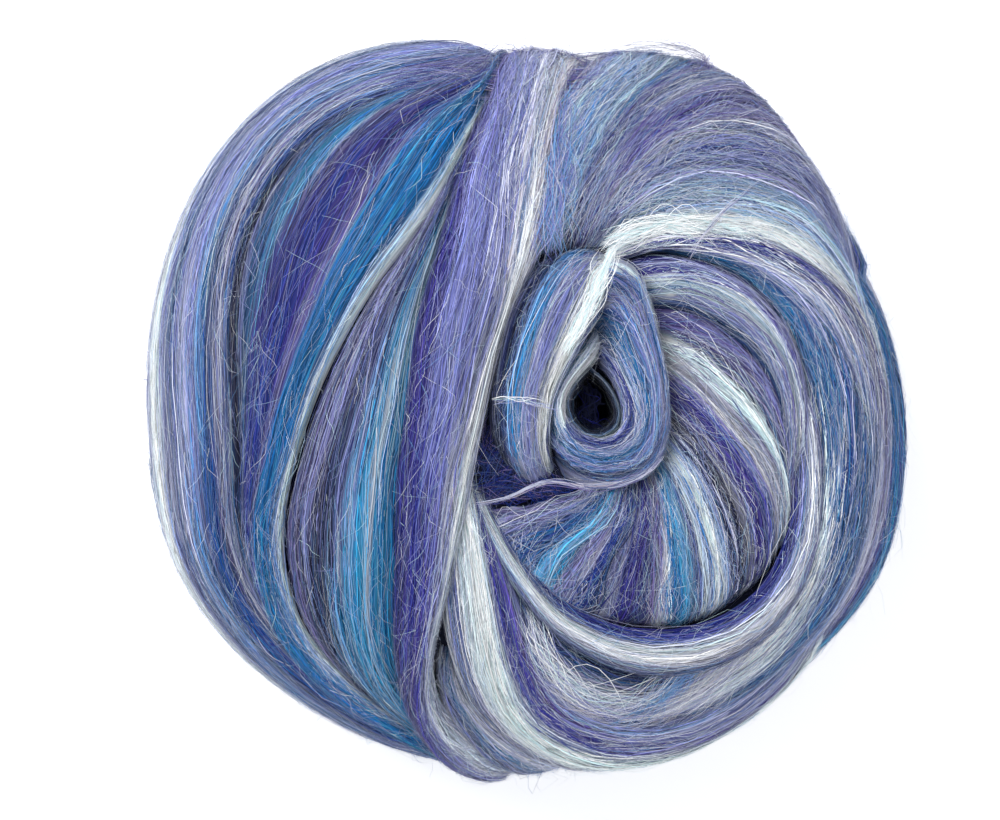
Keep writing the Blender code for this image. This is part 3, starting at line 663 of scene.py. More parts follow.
def find_stripe(ends, run, across):
    """The stripe at these places, how far across it they are, from 0 to 1, and its share of the width."""
    at_run = np.array([np.interp(run, STATIONS, row) for row in ends])
    at_run = np.maximum.accumulate(at_run, axis=0)
    stripe = np.minimum((across[None] > at_run).sum(axis=0), len(ends) - 1)
    high = np.take_along_axis(at_run, stripe[None], axis=0)[0]
    before = np.concatenate([np.zeros_like(at_run[:1]), at_run[:-1]])
    low = np.take_along_axis(before, stripe[None], axis=0)[0]
    return stripe, np.clip((across - low) / np.maximum(high - low, 1e-6), 0, 1), high - low


def grid_lengths(points):
    """The length of each row, and the width of each column, of a grid of points."""
    rows = np.linalg.norm(np.diff(points, axis=1), axis=-1).sum(axis=1)
    columns = np.linalg.norm(np.diff(points, axis=0), axis=-1).sum(axis=0)
    return rows, columns


def sample(grid, across, run):
    """A grid's values at these shares across and along it."""
    rows, columns = grid.shape[:2]
    y = np.clip(across, 0, 1) * (rows - 1)
    x = np.clip(run, 0, 1) * (columns - 1)
    j = np.minimum(y.astype(int), rows - 2)
    i = np.minimum(x.astype(int), columns - 2)
    b, a = (y - j)[..., None], (x - i)[..., None]
    return (grid[j, i] * (1 - b) * (1 - a) + grid[j, i + 1] * (1 - b) * a
            + grid[j + 1, i] * b * (1 - a) + grid[j + 1, i + 1] * b * a)


def make_streaks(kinds, width, run_length, rng):
    """Random grids for streaks of these kinds on a turn of this width and length."""
    grids = []
    for kind in kinds:
        rows = int(np.clip(width / kind.width, *STREAK_ROWS))
        columns = int(np.clip(run_length / kind.length, *STREAK_COLUMNS))
        grids.append(kind.strength * rng.normal(0, 1, (rows, columns, 1)))
    return grids


def streak_value(grids, across, run):
    return sum(sample(grid, across, run)[..., 0] for grid in grids)


def lock_relief(ends, width, rng, rows):
    """A turn's soft locks: each stripe's own crown, and finer ripples across it that drift along the run."""
    run, across = np.meshgrid(np.linspace(0, 1, RAIL_SAMPLES), np.linspace(0, 1, rows))
    _, part, share = find_stripe(ends, run, across)
    fullness = np.clip(share * width[None, :] / FULL_STRIPE, *FULLNESS_LIMITS)
    crown = LOCK_CROWN * fullness * (1 - (2 * part - 1) ** 2)
    ripples = np.zeros_like(run)
    fade = np.clip(width / RIPPLED_WIDTH, LEAST_RIPPLE, 1)[None, :]
    for octave in RIPPLE_OCTAVES:
        count = max(width.max() / RIPPLE_WIDTH, FEWEST_RIPPLES) * octave / OCTAVE_STRETCH
        drift = sum(rng.normal(0, DRIFT / turn) * np.sin(TAU * turn * run + rng.uniform(0, PHASES))
                    for turn in (1, 2, 3))
        ripples += np.sin(TAU * count * across + 2 * drift + rng.uniform(0, PHASES)) / octave
    return crown + RIPPLE_HEIGHT * fade * ripples


def true_normals(points, outward):
    """Normals of a grid of points, on the side that outward points to."""
    normals = np.cross(np.gradient(points, axis=1), np.gradient(points, axis=0))
    normals *= np.sign((normals * outward).sum(axis=-1, keepdims=True))
    return unit(normals + outward * 1e-3)


def finish_sheet(name, points, outward, stripes, rng):
    run_length, width = grid_lengths(points)
    mean_run = run_length.mean()
    kinds = (BRIGHT_STREAKS, BLEND_STREAKS, BORDER_STREAKS)
    streaks = [make_streaks(kind, width.max(), mean_run, rng) for kind in kinds]
    return Sheet(name, points, true_normals(points, outward), [blend for blend, _ in stripes],
                 stripe_ends(stripes), run_length, width, width.mean() * mean_run, streaks)


def make_sheet(name, rails, lift, crown, stripes, rng, row_width):
    """A turn's surface between its rails."""
    run_lengths, width = grid_lengths(ball_surface(blend_rails(rails, FEWEST_ROWS))[0])
    rows = int(np.clip(width.max() / row_width, FEWEST_ROWS, MOST_ROWS))
    relief = lock_relief(stripe_ends(stripes), width, rng, rows)
    relief += turn_lift(name, lift, crown, rows, width, run_lengths.mean())
    points, outward = ball_surface(blend_rails(rails, rows), relief)
    return finish_sheet(name, points, outward, stripes, rng)


def throat_sheet(rng):
    """The wool that turns down into the eye: its rail, sunk and narrowed."""
    rail = rail_directions(THROAT_RAIL)
    top = ball_surface(rail, np.full(len(rail), THROAT_LIFT))[0]
    middle = top.mean(axis=0)
    down = np.linspace(0, 1, THROAT_ROWS)[:, None, None]
    points = middle + (top - middle) * (1 - THROAT_NARROWING * down**NARROWING_CURVE)
    points[..., 2] = (top[:, 2] - THROAT_DEPTH * down[..., 0] ** DEPTH_CURVE)
    inward = unit((middle - top) * (1, 1, 0)) + (0, 0, THROAT_LEAN)
    outward = unit(np.broadcast_to(inward, points.shape))
    return finish_sheet("throat", points, outward, read_stripes("throat"), rng)


def under_stripes(width, rng):
    """Stripes for a turn that isn't seen from above: about STRIPE_WIDTH each, in blends by chance."""
    count = max(FEWEST_STRIPES, int(width / STRIPE_WIDTH))
    sizes = rng.uniform(*STRIPE_SIZES, count)
    ends = np.cumsum(sizes) / sizes.sum()
    blends = rng.permutation(np.tile(UNDER_BLENDS, 1 + count // len(UNDER_BLENDS)))[:count]
    return [(str(blend), float(end)) for blend, end in zip(blends, ends)]


def make_sheets():
    """All turns, those that show from above first."""
    top, below = [], []
    for number, turn in enumerate(TURNS):
        rng = np.random.default_rng(TURN_SEED + number)
        rails = [rail_directions(rail) for rail in turn.rails]
        stripes = read_stripes(turn.name)
        top.append(make_sheet(turn.name, rails, turn.lift, turn.crown, stripes, rng, ROW_WIDTH))
    top.append(throat_sheet(np.random.default_rng(THROAT_SEED)))
    for number, lune in enumerate(LUNES):
        rng = np.random.default_rng(LUNE_SEED + number)
        rails = lune_rails(lune)
        width = grid_lengths(ball_surface(blend_rails(rails, FEWEST_ROWS))[0])[1].max()
        stripes = under_stripes(width, rng)
        lift = (lune.lift,) * 3
        below.append(make_sheet(lune.name, rails, lift, LUNE_CROWN, stripes, rng, ROW_WIDTH_BELOW))
    return top, below


def dark_line(distance, reach):
    """Painted shade in the crease along a border, for places this far from it."""
    return 1 - CREASE_SHADE * np.exp(-((distance / reach) ** 2))


def turn_colours(sheet, run, across):
    """The wool's colour at these places of a turn, streaked and blended softly from stripe to stripe, with
    painted shade.
    """
    bright, blend, border = sheet.streaks
    width = at_share(sheet.width, run)
    wide = np.maximum(width, NARROWEST)
    shift = streak_value(border, across, run) / wide * np.clip(width / STEADY_WIDTH, LEAST_SHIFT, 1)
    mix = 0.5 + 0.5 * np.tanh(streak_value(blend, across, run))
    softness = BORDER_SOFTNESS / wide
    tint = np.zeros(run.shape + (3,))
    taps = (-1, 0, 1)
    below_last = 1.001
    for tap in taps:
        stripe, part, share = find_stripe(sheet.ends, run, np.clip(across + shift + tap * softness, 0, 1))
        for number, name in enumerate(sheet.blends):
            chosen = stripe == number
            if not chosen.any():
                continue
            colours = BLEND_COLOURS[name]
            place = mix[chosen] * (len(colours) - below_last)
            first = place.astype(int)
            rest = (place - first)[:, None]
            tint[chosen] += (colours[first] * (1 - rest) + colours[first + 1] * rest) / len(taps)
    to_border = np.minimum(part, 1 - part) * share * width
    to_edge = np.minimum(across, 1 - across) * width
    # Painted shade in the creases at the stripe borders and at the turn's edges.
    shade = dark_line(to_border, BORDER_REACH) * dark_line(to_edge, EDGE_REACH)
    # Painted shade that deepens from the lip down into the eye's throat.
    if sheet.name == "throat":
        least, more, fall = THROAT_LIGHT
        shade = shade * (least + more * (1 - across) ** fall)
    return tint * (shade * np.exp(streak_value(bright, across, run)))[..., None]


def waves(share, count, rng, turns):
    """A smooth random curve for each of count strands, at shares of its length."""
    total = np.zeros((count, share.shape[-1]))
    for turn in turns:
        height = rng.normal(0, 1, (count, 1)) / math.sqrt(len(turns))
        total += height * np.sin(TAU * turn * share + rng.uniform(0, TAU, (count, 1)))
    return total


# ---- Meshes ----

Ribbons = namedtuple("Ribbons", "paths sides widths tints")
# A part of a mesh.  cell_uv is its place in the atlas for baked colours, and fibre_uv is in millimetres.
Part = namedtuple("Part", "points faces tints cell_uv fibre_uv")
LOWEST = 0.15
RIBBON_CELL = (0.08, 0.92, 0.15, 0.85)
RIBBON_SPACING = 7.31
SHEET_MARGIN = 0.03
SHEET_SPACING = 97


def ribbon_sides(paths, normals, roll):
    """Which way each ribbon is wide: across its own run, rolled out of the surface by an angle."""
    tangents = unit(np.gradient(paths, axis=1))
    flat = unit(np.cross(tangents, normals))
    return flat * np.cos(roll)[..., None] + normals * np.sin(roll)[..., None]


def combed_fibres(sheet, count, rng):
    """Fibres that lie along a turn."""
    share = np.linspace(0, 1, FIBRE_STEPS + 1)[None, :]
    across = rng.permutation((np.arange(count) + rng.uniform(0, 1, count)) / count)
    length = rng.uniform(*FIBRE_LENGTH, count)
    run_share = np.minimum(length / at_share(sheet.run_length, across), LONGEST_SHARE)
    middle = np.clip(rng.uniform(*RUN_PLACES, count), run_share / 2, 1 - run_share / 2)
    run = middle[:, None] + (share - 0.5) * run_share[:, None]
    width = at_share(sheet.width, run)
    fine = rng.uniform(0, 1, count) < FINE_SHARE
    wander = FIBRE_WANDER.get(sheet.name, USUAL_WANDER)
    wander = wander * np.where(fine, rng.uniform(*FINE_WANDER, count), 1.0)
    shift = wander[:, None] * waves(share, count, rng, FIBRE_WAVES) / np.maximum(width, LEAST_ROOM)
    place = np.abs(across[:, None] + shift * np.clip(width / FULL_ROOM, LEAST_WANDER, 1))
    place = np.clip(1 - np.abs(1 - place), *PLACE_LIMITS)

    at_middle = run[:, FIBRE_STEPS // 2], place[:, FIBRE_STEPS // 2]
    tints = turn_colours(sheet, *at_middle)
    tints *= np.exp(np.minimum(rng.normal(0, BRIGHTNESS_SPREAD, (count, 1)), BRIGHTEST))
    height = rng.exponential(FIBRE_HEIGHT, count)
    # Painted shade: fibres that lie lower are darker.
    tints *= np.clip(LIGHT_LIMITS[0] + HEIGHT_LIGHT * height / FIBRE_HEIGHT, *LIGHT_LIMITS)[:, None]
    frosting = np.array([FROSTING.get(name, 1.0) for name in sheet.blends])
    frosting = frosting[find_stripe(sheet.ends, *at_middle)[0]]
    # Painted shade: a share of the fibres is darkened, standing for the dark between fibres.
    tints[rng.uniform(0, 1, count) < DARK_SHARE * np.clip(frosting, LEAST_DARK, 1)] *= DARKNESS
    pale = (fine * frosting)[:, None] * rng.uniform(*PALENESS, (count, 1))
    tints = tints * (1 - pale) + PALE_HAIRS[rng.integers(0, len(PALE_HAIRS), count)] * pale

    height = height + fine * rng.uniform(*FINE_LIFT, count)
    to_ends = (2 * share - 1) ** END_POWER
    over = (height[:, None] + LEAST_HEIGHT) * (1 - to_ends) - END_SINK * to_ends
    normals = unit(sample(sheet.normals, place, run))
    paths = sample(sheet.points, place, run) + normals * over[..., None]
    roll = rng.normal(0, FIBRE_ROLL, (count, 1)) + ROLL_CHANGE * waves(share, count, rng, ROLL_WAVES)
    widths = rng.uniform(*FIBRE_WIDTH, (count, 1)) * np.where(fine, FINE_WIDTH, 1.0)[:, None]
    widths = widths * (1 - END_THINNING * to_ends)
    return Ribbons(paths, ribbon_sides(paths, normals, roll), widths, tints)


def fuzz_hairs(sheet, count, rng, kind):
    """Loose hairs that cross a turn and stand off it, on places that aren't too steep for their kind."""
    share = np.linspace(0, 1, kind.steps + 1)[None, :]
    tries = count * FUZZ_TRIES
    across, middle = rng.uniform(*HAIRS_ACROSS, tries), rng.uniform(*HAIRS_ALONG, tries)
    keep = np.nonzero(np.abs(sample(sheet.normals, across, middle)[:, 2]) <= kind.steepest)[0][:count]
    across, middle, count = across[keep], middle[keep], len(keep)
    if count == 0:
        return None
    length = np.minimum(rng.gamma(LENGTH_SHAPE, kind.longest / LENGTH_PARTS, count) + SHORTEST, kind.longest)
    crossing = rng.normal(0, HEADING_SPREAD, count)
    heading = crossing * np.where(rng.uniform(0, 1, count) < CROSSING_SHARE, CROSSING_SPREAD, 1.0)
    width = np.maximum(at_share(sheet.width, middle), NARROWEST)
    bow = (BOW * length)[:, None] * waves(share, count, rng, BOW_WAVES)
    run = middle[:, None] + (share - 0.5) * (length * np.cos(heading) / sheet.run_length.mean())[:, None]
    place = across[:, None] + ((share - 0.5) * (length * np.sin(heading))[:, None] + bow) / width[:, None]
    run, place = np.clip(run, 0, 1), np.clip(place, 0, 1)
    normals = unit(sample(sheet.normals, place, run))
    free_end = rng.uniform(0, 1, (count, 1)) < FREE_SHARE
    rise = np.where(free_end, share**FREE_RISE, np.sin(np.pi * share))
    tallness = np.minimum(length / TALL_LENGTH, 1.0)[:, None]
    height = HAIR_HEIGHT + kind.stand_off * rng.gamma(*HEIGHT_GAMMA, (count, 1)) * rise * tallness
    paths = sample(sheet.points, place, run) + normals * np.clip(height, *HAIR_HEIGHTS)[..., None]
    roll = rng.uniform(-HAIR_ROLL, HAIR_ROLL, (count, 1)) + 0 * share
    widths = rng.uniform(*FUZZ_WIDTH, (count, 1)) * (1 - HAIR_THINNING * share**4)
    pale = PALE_HAIRS[rng.integers(0, len(PALE_HAIRS), count)]
    own = turn_colours(sheet, middle, across)
    paleness = rng.uniform(LEAST_PALENESS, kind.paleness, (count, 1))
    return Ribbons(paths, ribbon_sides(paths, normals, roll), widths, own * (1 - paleness) + pale * paleness)


def wisp_hairs(wisp, rng):
    """Hairs along a wisp's own run, which may reach past the outline."""
    count = wisp.count
    share = np.linspace(0, 1, WISP_STEPS + 1)[None, :]
    line = spline(plan_point(pairs(wisp.run)), WISP_SAMPLES)
    cuts = [rng.uniform(0, MOST_SHORTENED, (count, 1)) * (rng.uniform(0, 1, (count, 1)) < SHORTENED_SHARE)
            for _ in range(2)]
    start, end = cuts[0], 1 - cuts[1]
    along = (start + (end - start) * share) * (WISP_SAMPLES - 1)
    plan = np.stack([np.interp(along, np.arange(WISP_SAMPLES), column) for column in line.T], axis=-1)
    plan = plan + wisp.spread * np.stack([waves(share, count, rng, WISP_WAVES) for _ in range(2)], axis=-1)
    azimuth = np.arctan2(plan[..., 1], plan[..., 0])
    reach = np.minimum(np.hypot(plan[..., 0], plan[..., 1]), WISP_REACH * outline_radius(azimuth))
    inside = np.stack([np.cos(azimuth), np.sin(azimuth)], axis=-1) * reach[..., None]
    paths, normals = ball_surface(direction_of_plan(inside), np.full(reach.shape, wisp.height))
    paths[..., :2] += plan - inside
    paths[..., 2] += WISP_THICKNESS * wisp.spread * waves(share, count, rng, THICKNESS_WAVES)
    widths = rng.uniform(*WISP_WIDTH, (count, 1)) * (1 - WISP_THINNING * (2 * share - 1) ** END_POWER)
    colours = BLEND_COLOURS[wisp.blend]
    tints = colours[rng.integers(0, len(colours), count)]
    roll = rng.normal(0, WISP_ROLL, (count, 1)) + 0 * share
    return Ribbons(paths, ribbon_sides(paths, normals, roll), widths, tints)


def grid_faces(rows, columns, start):
    index = np.arange(rows * columns).reshape(rows, columns) + start
    return np.stack([index[:-1, :-1], index[:-1, 1:], index[1:, 1:], index[1:, :-1]], axis=-1).reshape(-1, 4)


def grid_shares(rows, columns):
    """How far along and across a grid each of its points is, from 0 to 1."""
    return np.meshgrid(np.linspace(0, 1, columns), np.linspace(0, 1, rows))


def uv_rows(u, v):
    return np.stack([u, v], axis=-1).reshape(-1, 2)


def add_object(name, data):
    made = bpy.data.objects.new(name, data)
    bpy.context.scene.collection.objects.link(made)
    return made


def atlas_cells(count):
    """How many cells an atlas for count items has along each side."""
    return math.ceil(math.sqrt(count))


def mesh_object(name, parts, material):
    """One mesh of quads from parts in millimetres, with its colours and its two UV maps."""
    points, faces, tints, cell_uv, fibre_uv = (np.concatenate(rows) for rows in zip(*parts))
    mesh = bpy.data.meshes.new(name)
    mesh.vertices.add(len(points))
    points[:, 2] = np.maximum(points[:, 2], LOWEST)
    mesh.vertices.foreach_set("co", (points * MM).astype(np.float32).ravel())
    mesh.loops.add(faces.size)
    mesh.loops.foreach_set("vertex_index", faces.astype(np.int32).ravel())
    mesh.polygons.add(len(faces))
    mesh.polygons.foreach_set("loop_start", np.arange(0, faces.size, 4, dtype=np.int32))
    mesh.update(calc_edges=True)
    mesh.shade_smooth()
    colours = mesh.attributes.new("tint", "FLOAT_COLOR", "POINT")
    rgba = np.concatenate([np.clip(tints, 0, 1), np.ones((len(tints), 1))], axis=1)
    colours.data.foreach_set("color", rgba.astype(np.float32).ravel())
    for map_name, uv in (("OFBake", cell_uv), ("Fibre", fibre_uv)):
        layer = mesh.uv_layers.new(name=map_name)
        layer.data.foreach_set("uv", uv[faces.ravel()].astype(np.float32).ravel())
    mesh.materials.append(material)
    made = add_object(name, mesh)
    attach(made, "root")
    return made


def ribbon_object(name, groups, material):
    """One mesh of all the ribbons in these groups, each in its own cell of the atlas."""
    groups = [group for group in groups if group is not None]
    cells = atlas_cells(sum(len(group.paths) for group in groups))
    from_u, to_u, *sides = RIBBON_CELL
    parts = []
    start = number = 0
    for group in groups:
        count, steps = group.paths.shape[:2]
        half = group.sides * group.widths[..., None] / 2
        index = start + np.arange(count * steps * 2).reshape(count, steps, 2)
        quads = np.stack([index[:, :-1, 0], index[:, :-1, 1], index[:, 1:, 1], index[:, 1:, 0]], axis=-1)
        order = (number + np.arange(count))[:, None, None]
        along, side = np.broadcast_arrays(np.linspace(from_u, to_u, steps)[None, :, None], sides)
        length = np.linalg.norm(np.diff(group.paths, axis=1), axis=-1).sum(axis=1)[:, None, None]
        parts.append(Part(
            np.stack([group.paths - half, group.paths + half], axis=2).reshape(-1, 3),
            quads.reshape(-1, 4),
            np.repeat(group.tints, steps * 2, axis=0),
            uv_rows(order % cells + along, order // cells + side) / cells,
            uv_rows(along * length, side + order * RIBBON_SPACING),
        ))
        start += count * steps * 2
        number += count
    return mesh_object(name, parts, material)


def turn_object(name, sheets, material):
    """The turns' own surfaces under their fibres, each in its own cell of the atlas."""
    cells = atlas_cells(len(sheets))
    within = 1 - 2 * SHEET_MARGIN
    parts = []
    start = 0
    for number, sheet in enumerate(sheets):
        rows, columns = sheet.points.shape[:2]
        run, across = grid_shares(rows, columns)
        tint = turn_colours(sheet, run, across)
        # Painted shade: the surface under the fibres is darker than they are.
        light = SHADE_UNDER_FIBRES[0] + SHADE_UNDER_FIBRES[1] * tint.mean(axis=-1, keepdims=True)
        grid = grid_faces(rows, columns, start)
        j, i = rows // 2, columns // 2
        corner = sheet.points[j, i]
        facing = np.cross(sheet.points[j, i + 1] - corner, sheet.points[j + 1, i] - corner)
        parts.append(Part(
            sheet.points.reshape(-1, 3),
            grid if facing @ sheet.normals[j, i] > 0 else grid[:, ::-1],
            (tint * light).reshape(-1, 3),
            uv_rows(number % cells + SHEET_MARGIN + within * run,
                    number // cells + SHEET_MARGIN + within * across) / cells,
            uv_rows(run * sheet.run_length.mean(), across * sheet.width.max() + SHEET_SPACING * number),
        ))
        start += rows * columns
    return mesh_object(name, parts, material)


# The wool inside, which shows only between the turns and in the eye, painted dark as the shade there.
CORE_SPOKES = 96
CORE_RINGS_ABOVE = 48
CORE_RINGS_BELOW = 30
CORE_LIFT = -6.0
CORE_EYE_RADIUS = 8.6
EYE_RINGS = (0.02, 0.5, 0.74, 0.86, 0.95, 1.08)
EYE_WALL_POWER = 3
CORE_FOOT = 0.02
CORE_MARGIN = 0.02
CORE_SHADE = 0.6
CORE_SPAN = (400, 180)


def core_object(material):
    """The ball's inside: its own form sunk under the turns, with the eye's pit in it."""
    eye = plan_point(EYE_PIXEL)
    azimuths = np.linspace(0, TAU, CORE_SPOKES + 1)
    rim = np.stack([np.cos(azimuths), np.sin(azimuths)], axis=-1)
    eye_share = eye / outline_radius(np.arctan2(eye[1], eye[0]))
    eye_reach = CORE_EYE_RADIUS / (BALL_LENGTH / 2)
    reaches = [eye_reach * share for share in EYE_RINGS[:-1]]
    first = math.asin(eye_reach * EYE_RINGS[-1])
    reaches += [math.sin(angle) for angle in np.linspace(first, math.pi / 2, CORE_RINGS_ABOVE)]
    above = np.array([eye_share * (1 - reach**2) + rim * reach for reach in reaches])
    angles = np.linspace(math.pi / 2, CORE_FOOT, CORE_RINGS_BELOW + 1)[1:]
    below = np.array([rim * math.sin(angle) for angle in angles])
    directions = np.concatenate([
        np.dstack([above, np.sqrt(np.maximum(1 - (above**2).sum(-1), 0))]),
        np.dstack([below, -np.sqrt(1 - (below**2).sum(-1))]),
    ])
    rings = ball_surface(directions, np.full(directions.shape[:2], CORE_LIFT))[0]
    lip = rings[len(EYE_RINGS) - 1].copy()
    middle = lip[:-1].mean(axis=0)
    for ring, share in enumerate(EYE_RINGS[:-1]):
        sunk = 1 - (1 - (EYE_RINGS[-1] - share) / EYE_RINGS[-1]) ** EYE_WALL_POWER
        rings[ring, :, :2] = middle[:2] + (lip[:, :2] - middle[:2]) * share / EYE_RINGS[-1]
        rings[ring, :, 2] = lip[:, 2] * (1 - sunk) + (middle[2] - EYE_DEPTH) * sunk
    rows, columns = rings.shape[:2]
    run, across = grid_shares(rows, columns)
    within = 1 - 2 * CORE_MARGIN
    part = Part(
        rings.reshape(-1, 3),
        grid_faces(rows, columns, 0)[:, ::-1],
        # Painted shade: the inside is charcoal, darkened further.
        np.broadcast_to(COLOURS["charcoal"] * CORE_SHADE, (rows * columns, 3)),
        uv_rows(CORE_MARGIN + within * run, CORE_MARGIN + within * across),
        uv_rows(run * CORE_SPAN[0], across * CORE_SPAN[1]),
    )
    return mesh_object("core", [part], material)


# ---- Materials ----

# Kinds of wool: their streaks a millimetre along the fibres and across them, how strong these are in colour
# and in relief, and the wool's roughness and sheen.
Wool = namedtuple("Wool", "name along across contrast bump roughness sheen")
WOOLS = (
    Wool("deep_wool", 0.05, 2.2, 0.3, 0.5, 0.75, 0.05),
    Wool("turn_wool", 0.035, 3.4, 0.34, 0.8, 0.6, 0.04),
    Wool("fibre_wool", 0.12, 1.0, 0.12, 0.15, 0.5, 0.04),
    Wool("fuzz_wool", 0.2, 1.0, 0.1, 0.1, 0.6, 0.1),
)
ROUGHNESS_SPREAD = 0.1
RELIEF_DEPTH = 0.3 * MM
FLOOR_GLOW = 0.4


def set_inputs(node, values):
    for name, value in values.items():
        node.inputs[name].default_value = value


def new_material(name):
    """A material with its nodes, links and shader."""
    material = bpy.data.materials.new(name)
    material.use_nodes = True
    tree = material.node_tree
    return material, tree.nodes, tree.links, tree.nodes["Principled BSDF"]


def wool_material(kind):
    """Combed wool: the mesh's own tint, streaked along the fibres."""
    material, nodes, links, shader = new_material(kind.name)
    tint = nodes.new("ShaderNodeAttribute")
    tint.attribute_name = "tint"
    fibre = nodes.new("ShaderNodeUVMap")
    fibre.uv_map = "Fibre"
    stretch = nodes.new("ShaderNodeMapping")
    streaks = nodes.new("ShaderNodeTexNoise")
    value = nodes.new("ShaderNodeMapRange")
    gloss = nodes.new("ShaderNodeMapRange")
    streaked = nodes.new("ShaderNodeMix")
    streaked.data_type = "RGBA"
    streaked.blend_type = "MULTIPLY"
    streaked.inputs[0].default_value = 1.0
    relief = nodes.new("ShaderNodeBump")
    set_inputs(stretch, {"Scale": (kind.along, kind.across, 1)})
    set_inputs(streaks, {"Scale": 1.0, "Detail": 3.0, "Roughness": 0.6})
    set_inputs(relief, {"Strength": kind.bump, "Distance": RELIEF_DEPTH})
    for stage, middle, change in ((value, 1, kind.contrast), (gloss, kind.roughness, -ROUGHNESS_SPREAD)):
        low, high = middle - change, middle + change
        set_inputs(stage, {"From Min": 0.3, "From Max": 0.7, "To Min": low, "To Max": high})
        links.new(streaks.outputs["Fac"], stage.inputs["Value"])
    for source, output, target, socket in (
        (fibre, "UV", stretch, "Vector"), (stretch, "Vector", streaks, "Vector"),
        (streaks, "Fac", relief, "Height"), (tint, "Color", streaked, 6), (value, "Result", streaked, 7),
        (streaked, 2, shader, "Base Color"), (gloss, "Result", shader, "Roughness"),
        (relief, "Normal", shader, "Normal"),
    ):
        links.new(source.outputs[output], target.inputs[socket])
    set_inputs(shader, {"Specular IOR Level": 0.2, "Sheen Weight": kind.sheen, "Sheen Roughness": 0.4})
    return material


def floor_material():
    """A pale sweep that glows a little, so that the ball's shadow on it is faint."""
    material, nodes, links, shader = new_material("pale_floor")
    clouds = nodes.new("ShaderNodeTexNoise")
    ramp = nodes.new("ShaderNodeMapRange")
    set_inputs(clouds, {"Scale": 2.0})
    set_inputs(ramp, {"To Min": 0.86, "To Max": 0.9})
    links.new(clouds.outputs["Fac"], ramp.inputs["Value"])
    links.new(ramp.outputs["Result"], shader.inputs["Base Color"])
    set_inputs(shader, {"Roughness": 0.7, "Specular IOR Level": 0.1, "Emission Color": (1, 1, 1, 1),
                        "Emission Strength": FLOOR_GLOW})
    return material


# ---- The ball ----

# Which turns' fibres are in one piece, and which turns lie inside, without a halo.
LEFT_TURNS = ("left_outer", "left_blue", "left_dusty", "left_crest")
ARC_TURNS = ("top_fan", "outer_arc", "right_rim", "sagging")
INNER_TURNS = ("pocket", "throat", "hood_left", "hood_right", "bowl_fan", "crescent", "bowl_rim")


def share_out(sheets, total, weights):
    """How many strands each turn gets, by its area and its own weight."""
    areas = np.array([sheet.area * weights.get(sheet.name, 1.0) for sheet in sheets])
    return np.maximum((total * areas / areas.sum()).astype(int), FEWEST_STRANDS)


def strands(make, sheets, total, weights, rng, *kind):
    """A group of strands for each turn."""
    counts = share_out(sheets, total, weights)
    return [make(sheet, int(count), rng, *kind) for sheet, count in zip(sheets, counts)]


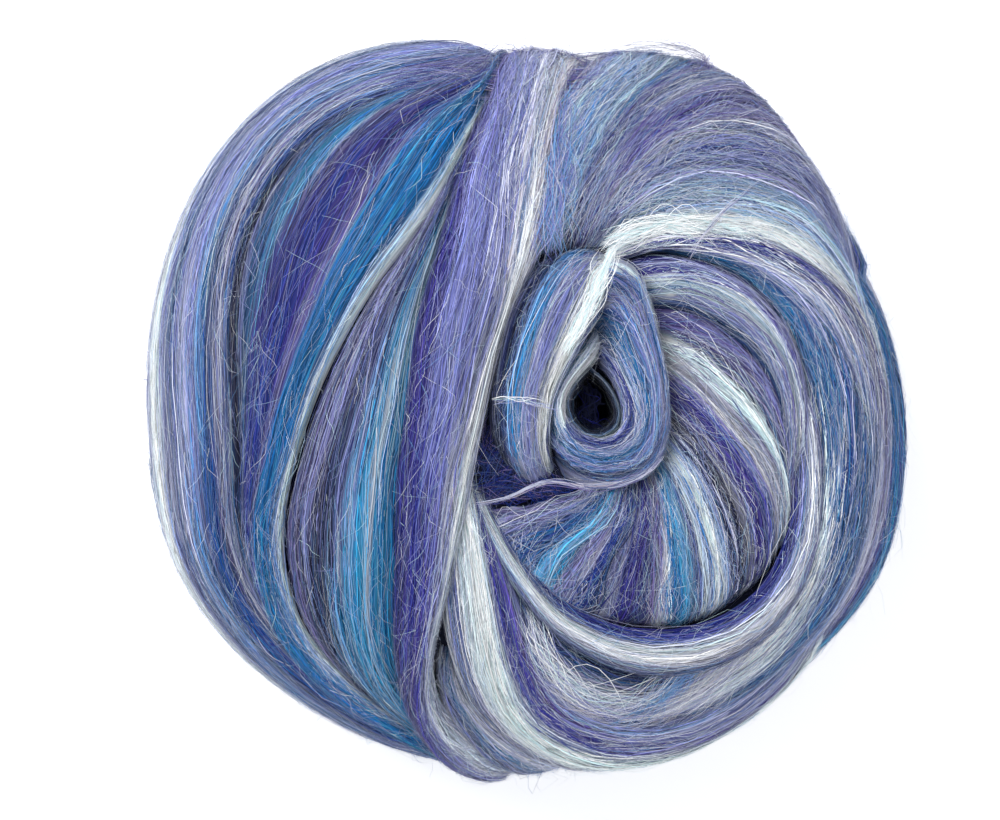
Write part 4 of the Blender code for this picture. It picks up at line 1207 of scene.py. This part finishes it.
def build_ball():
    top, below = make_sheets()
    deep_wool, turn_wool, fibre_wool, fuzz_wool = map(wool_material, WOOLS)
    for piece in (core_object(deep_wool), turn_object("turns_top", top, turn_wool),
                  turn_object("turns_under", below, turn_wool)):
        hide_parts("roving_ball")
    rng = np.random.default_rng(STRAND_SEED)
    groups = strands(combed_fibres, top, FIBRES_ON_TOP, {"throat": 2.0}, rng)
    fibres = {sheet.name: group for sheet, group in zip(top, groups)}
    others = [name for name in fibres if name not in LEFT_TURNS + ARC_TURNS]
    for name, members in (("fibres_left", LEFT_TURNS), ("fibres_arcs", ARC_TURNS), ("fibres_bowl", others)):
        ribbon_object(name, [fibres[member] for member in members], fibre_wool)
    ribbon_object("fibres_under", strands(combed_fibres, below, FIBRES_BELOW, {}, rng), fibre_wool)
    hairs = strands(fuzz_hairs, top, LOOSE_HAIRS.count, FUZZ_SHARE, rng, LOOSE_HAIRS)
    ribbon_object("fuzz", hairs, fuzz_wool)
    sides = [sheet for sheet in top + below if sheet.name not in INNER_TURNS]
    halo = [group for kind in HALO for group in strands(fuzz_hairs, sides, kind.count, {}, rng, kind)]
    ribbon_object("halo", halo, fuzz_wool)
    ribbon_object("wisps", [wisp_hairs(wisp, rng) for wisp in WISPS], fuzz_wool)


# ---- Floor, light and camera ----

CAMERA_DISTANCE = 2.5
CAMERA_REACH = 20
SENSOR_WIDTH = 36.0
FLOOR_SIDE = 6.0
# Round lights: name, place, width and power.
LIGHTS = (
    ("key", (-0.5, 0.6, 1.3), 0.9, 18.0),
    ("fill", (0.9, -0.5, 1.0), 1.4, 6.0),
)
WORLD_LIGHT = 0.66
WORLD_COLOUR = (0.96, 0.98, 1.0, 1)


def build_stage():
    scene = bpy.context.scene
    corners = [(x * FLOOR_SIDE / 2, y * FLOOR_SIDE / 2, 0) for x, y in ((-1, -1), (1, -1), (1, 1), (-1, 1))]
    mesh = bpy.data.meshes.new("floor")
    mesh.from_pydata(corners, [], [(0, 1, 2, 3)])
    mesh.materials.append(floor_material())
    floor = add_object("floor", mesh)
    target = np.array([0, 0, WAIST_HEIGHT * MM])
    for name, place, width, power in LIGHTS:
        data = bpy.data.lights.new(name, "AREA")
        data.shape, data.size, data.energy = "DISK", width, power
        lamp = add_object(name, data)
        lamp.location = place
        lamp.rotation_euler = Vector(np.array(place) - target).to_track_quat("Z", "Y").to_euler()
    scene.world = bpy.data.worlds.new("studio")
    scene.world.use_nodes = True
    set_inputs(scene.world.node_tree.nodes["Background"], {"Color": WORLD_COLOUR, "Strength": WORLD_LIGHT})
    scene.view_settings.view_transform = "Standard"


def build_camera():
    """Looks straight down.  The picture's middle is beside the ball's middle, as in the photograph."""
    middle = plan_point((PICTURE[0] / 2, PICTURE[1] / 2)) + np.array(BOX_OFFSET[:2])
    data = bpy.data.cameras.new("camera")
    data.sensor_width = SENSOR_WIDTH
    data.lens = SENSOR_WIDTH * CAMERA_DISTANCE / (PICTURE[0] * PX * MM)
    data.clip_end = CAMERA_REACH
    camera = add_object("camera", data)
    camera.location = (middle[0] * MM, middle[1] * MM, WAIST_HEIGHT * MM + CAMERA_DISTANCE)
    bpy.context.scene.camera = camera


build_camera()
build_stage()
build_ball()
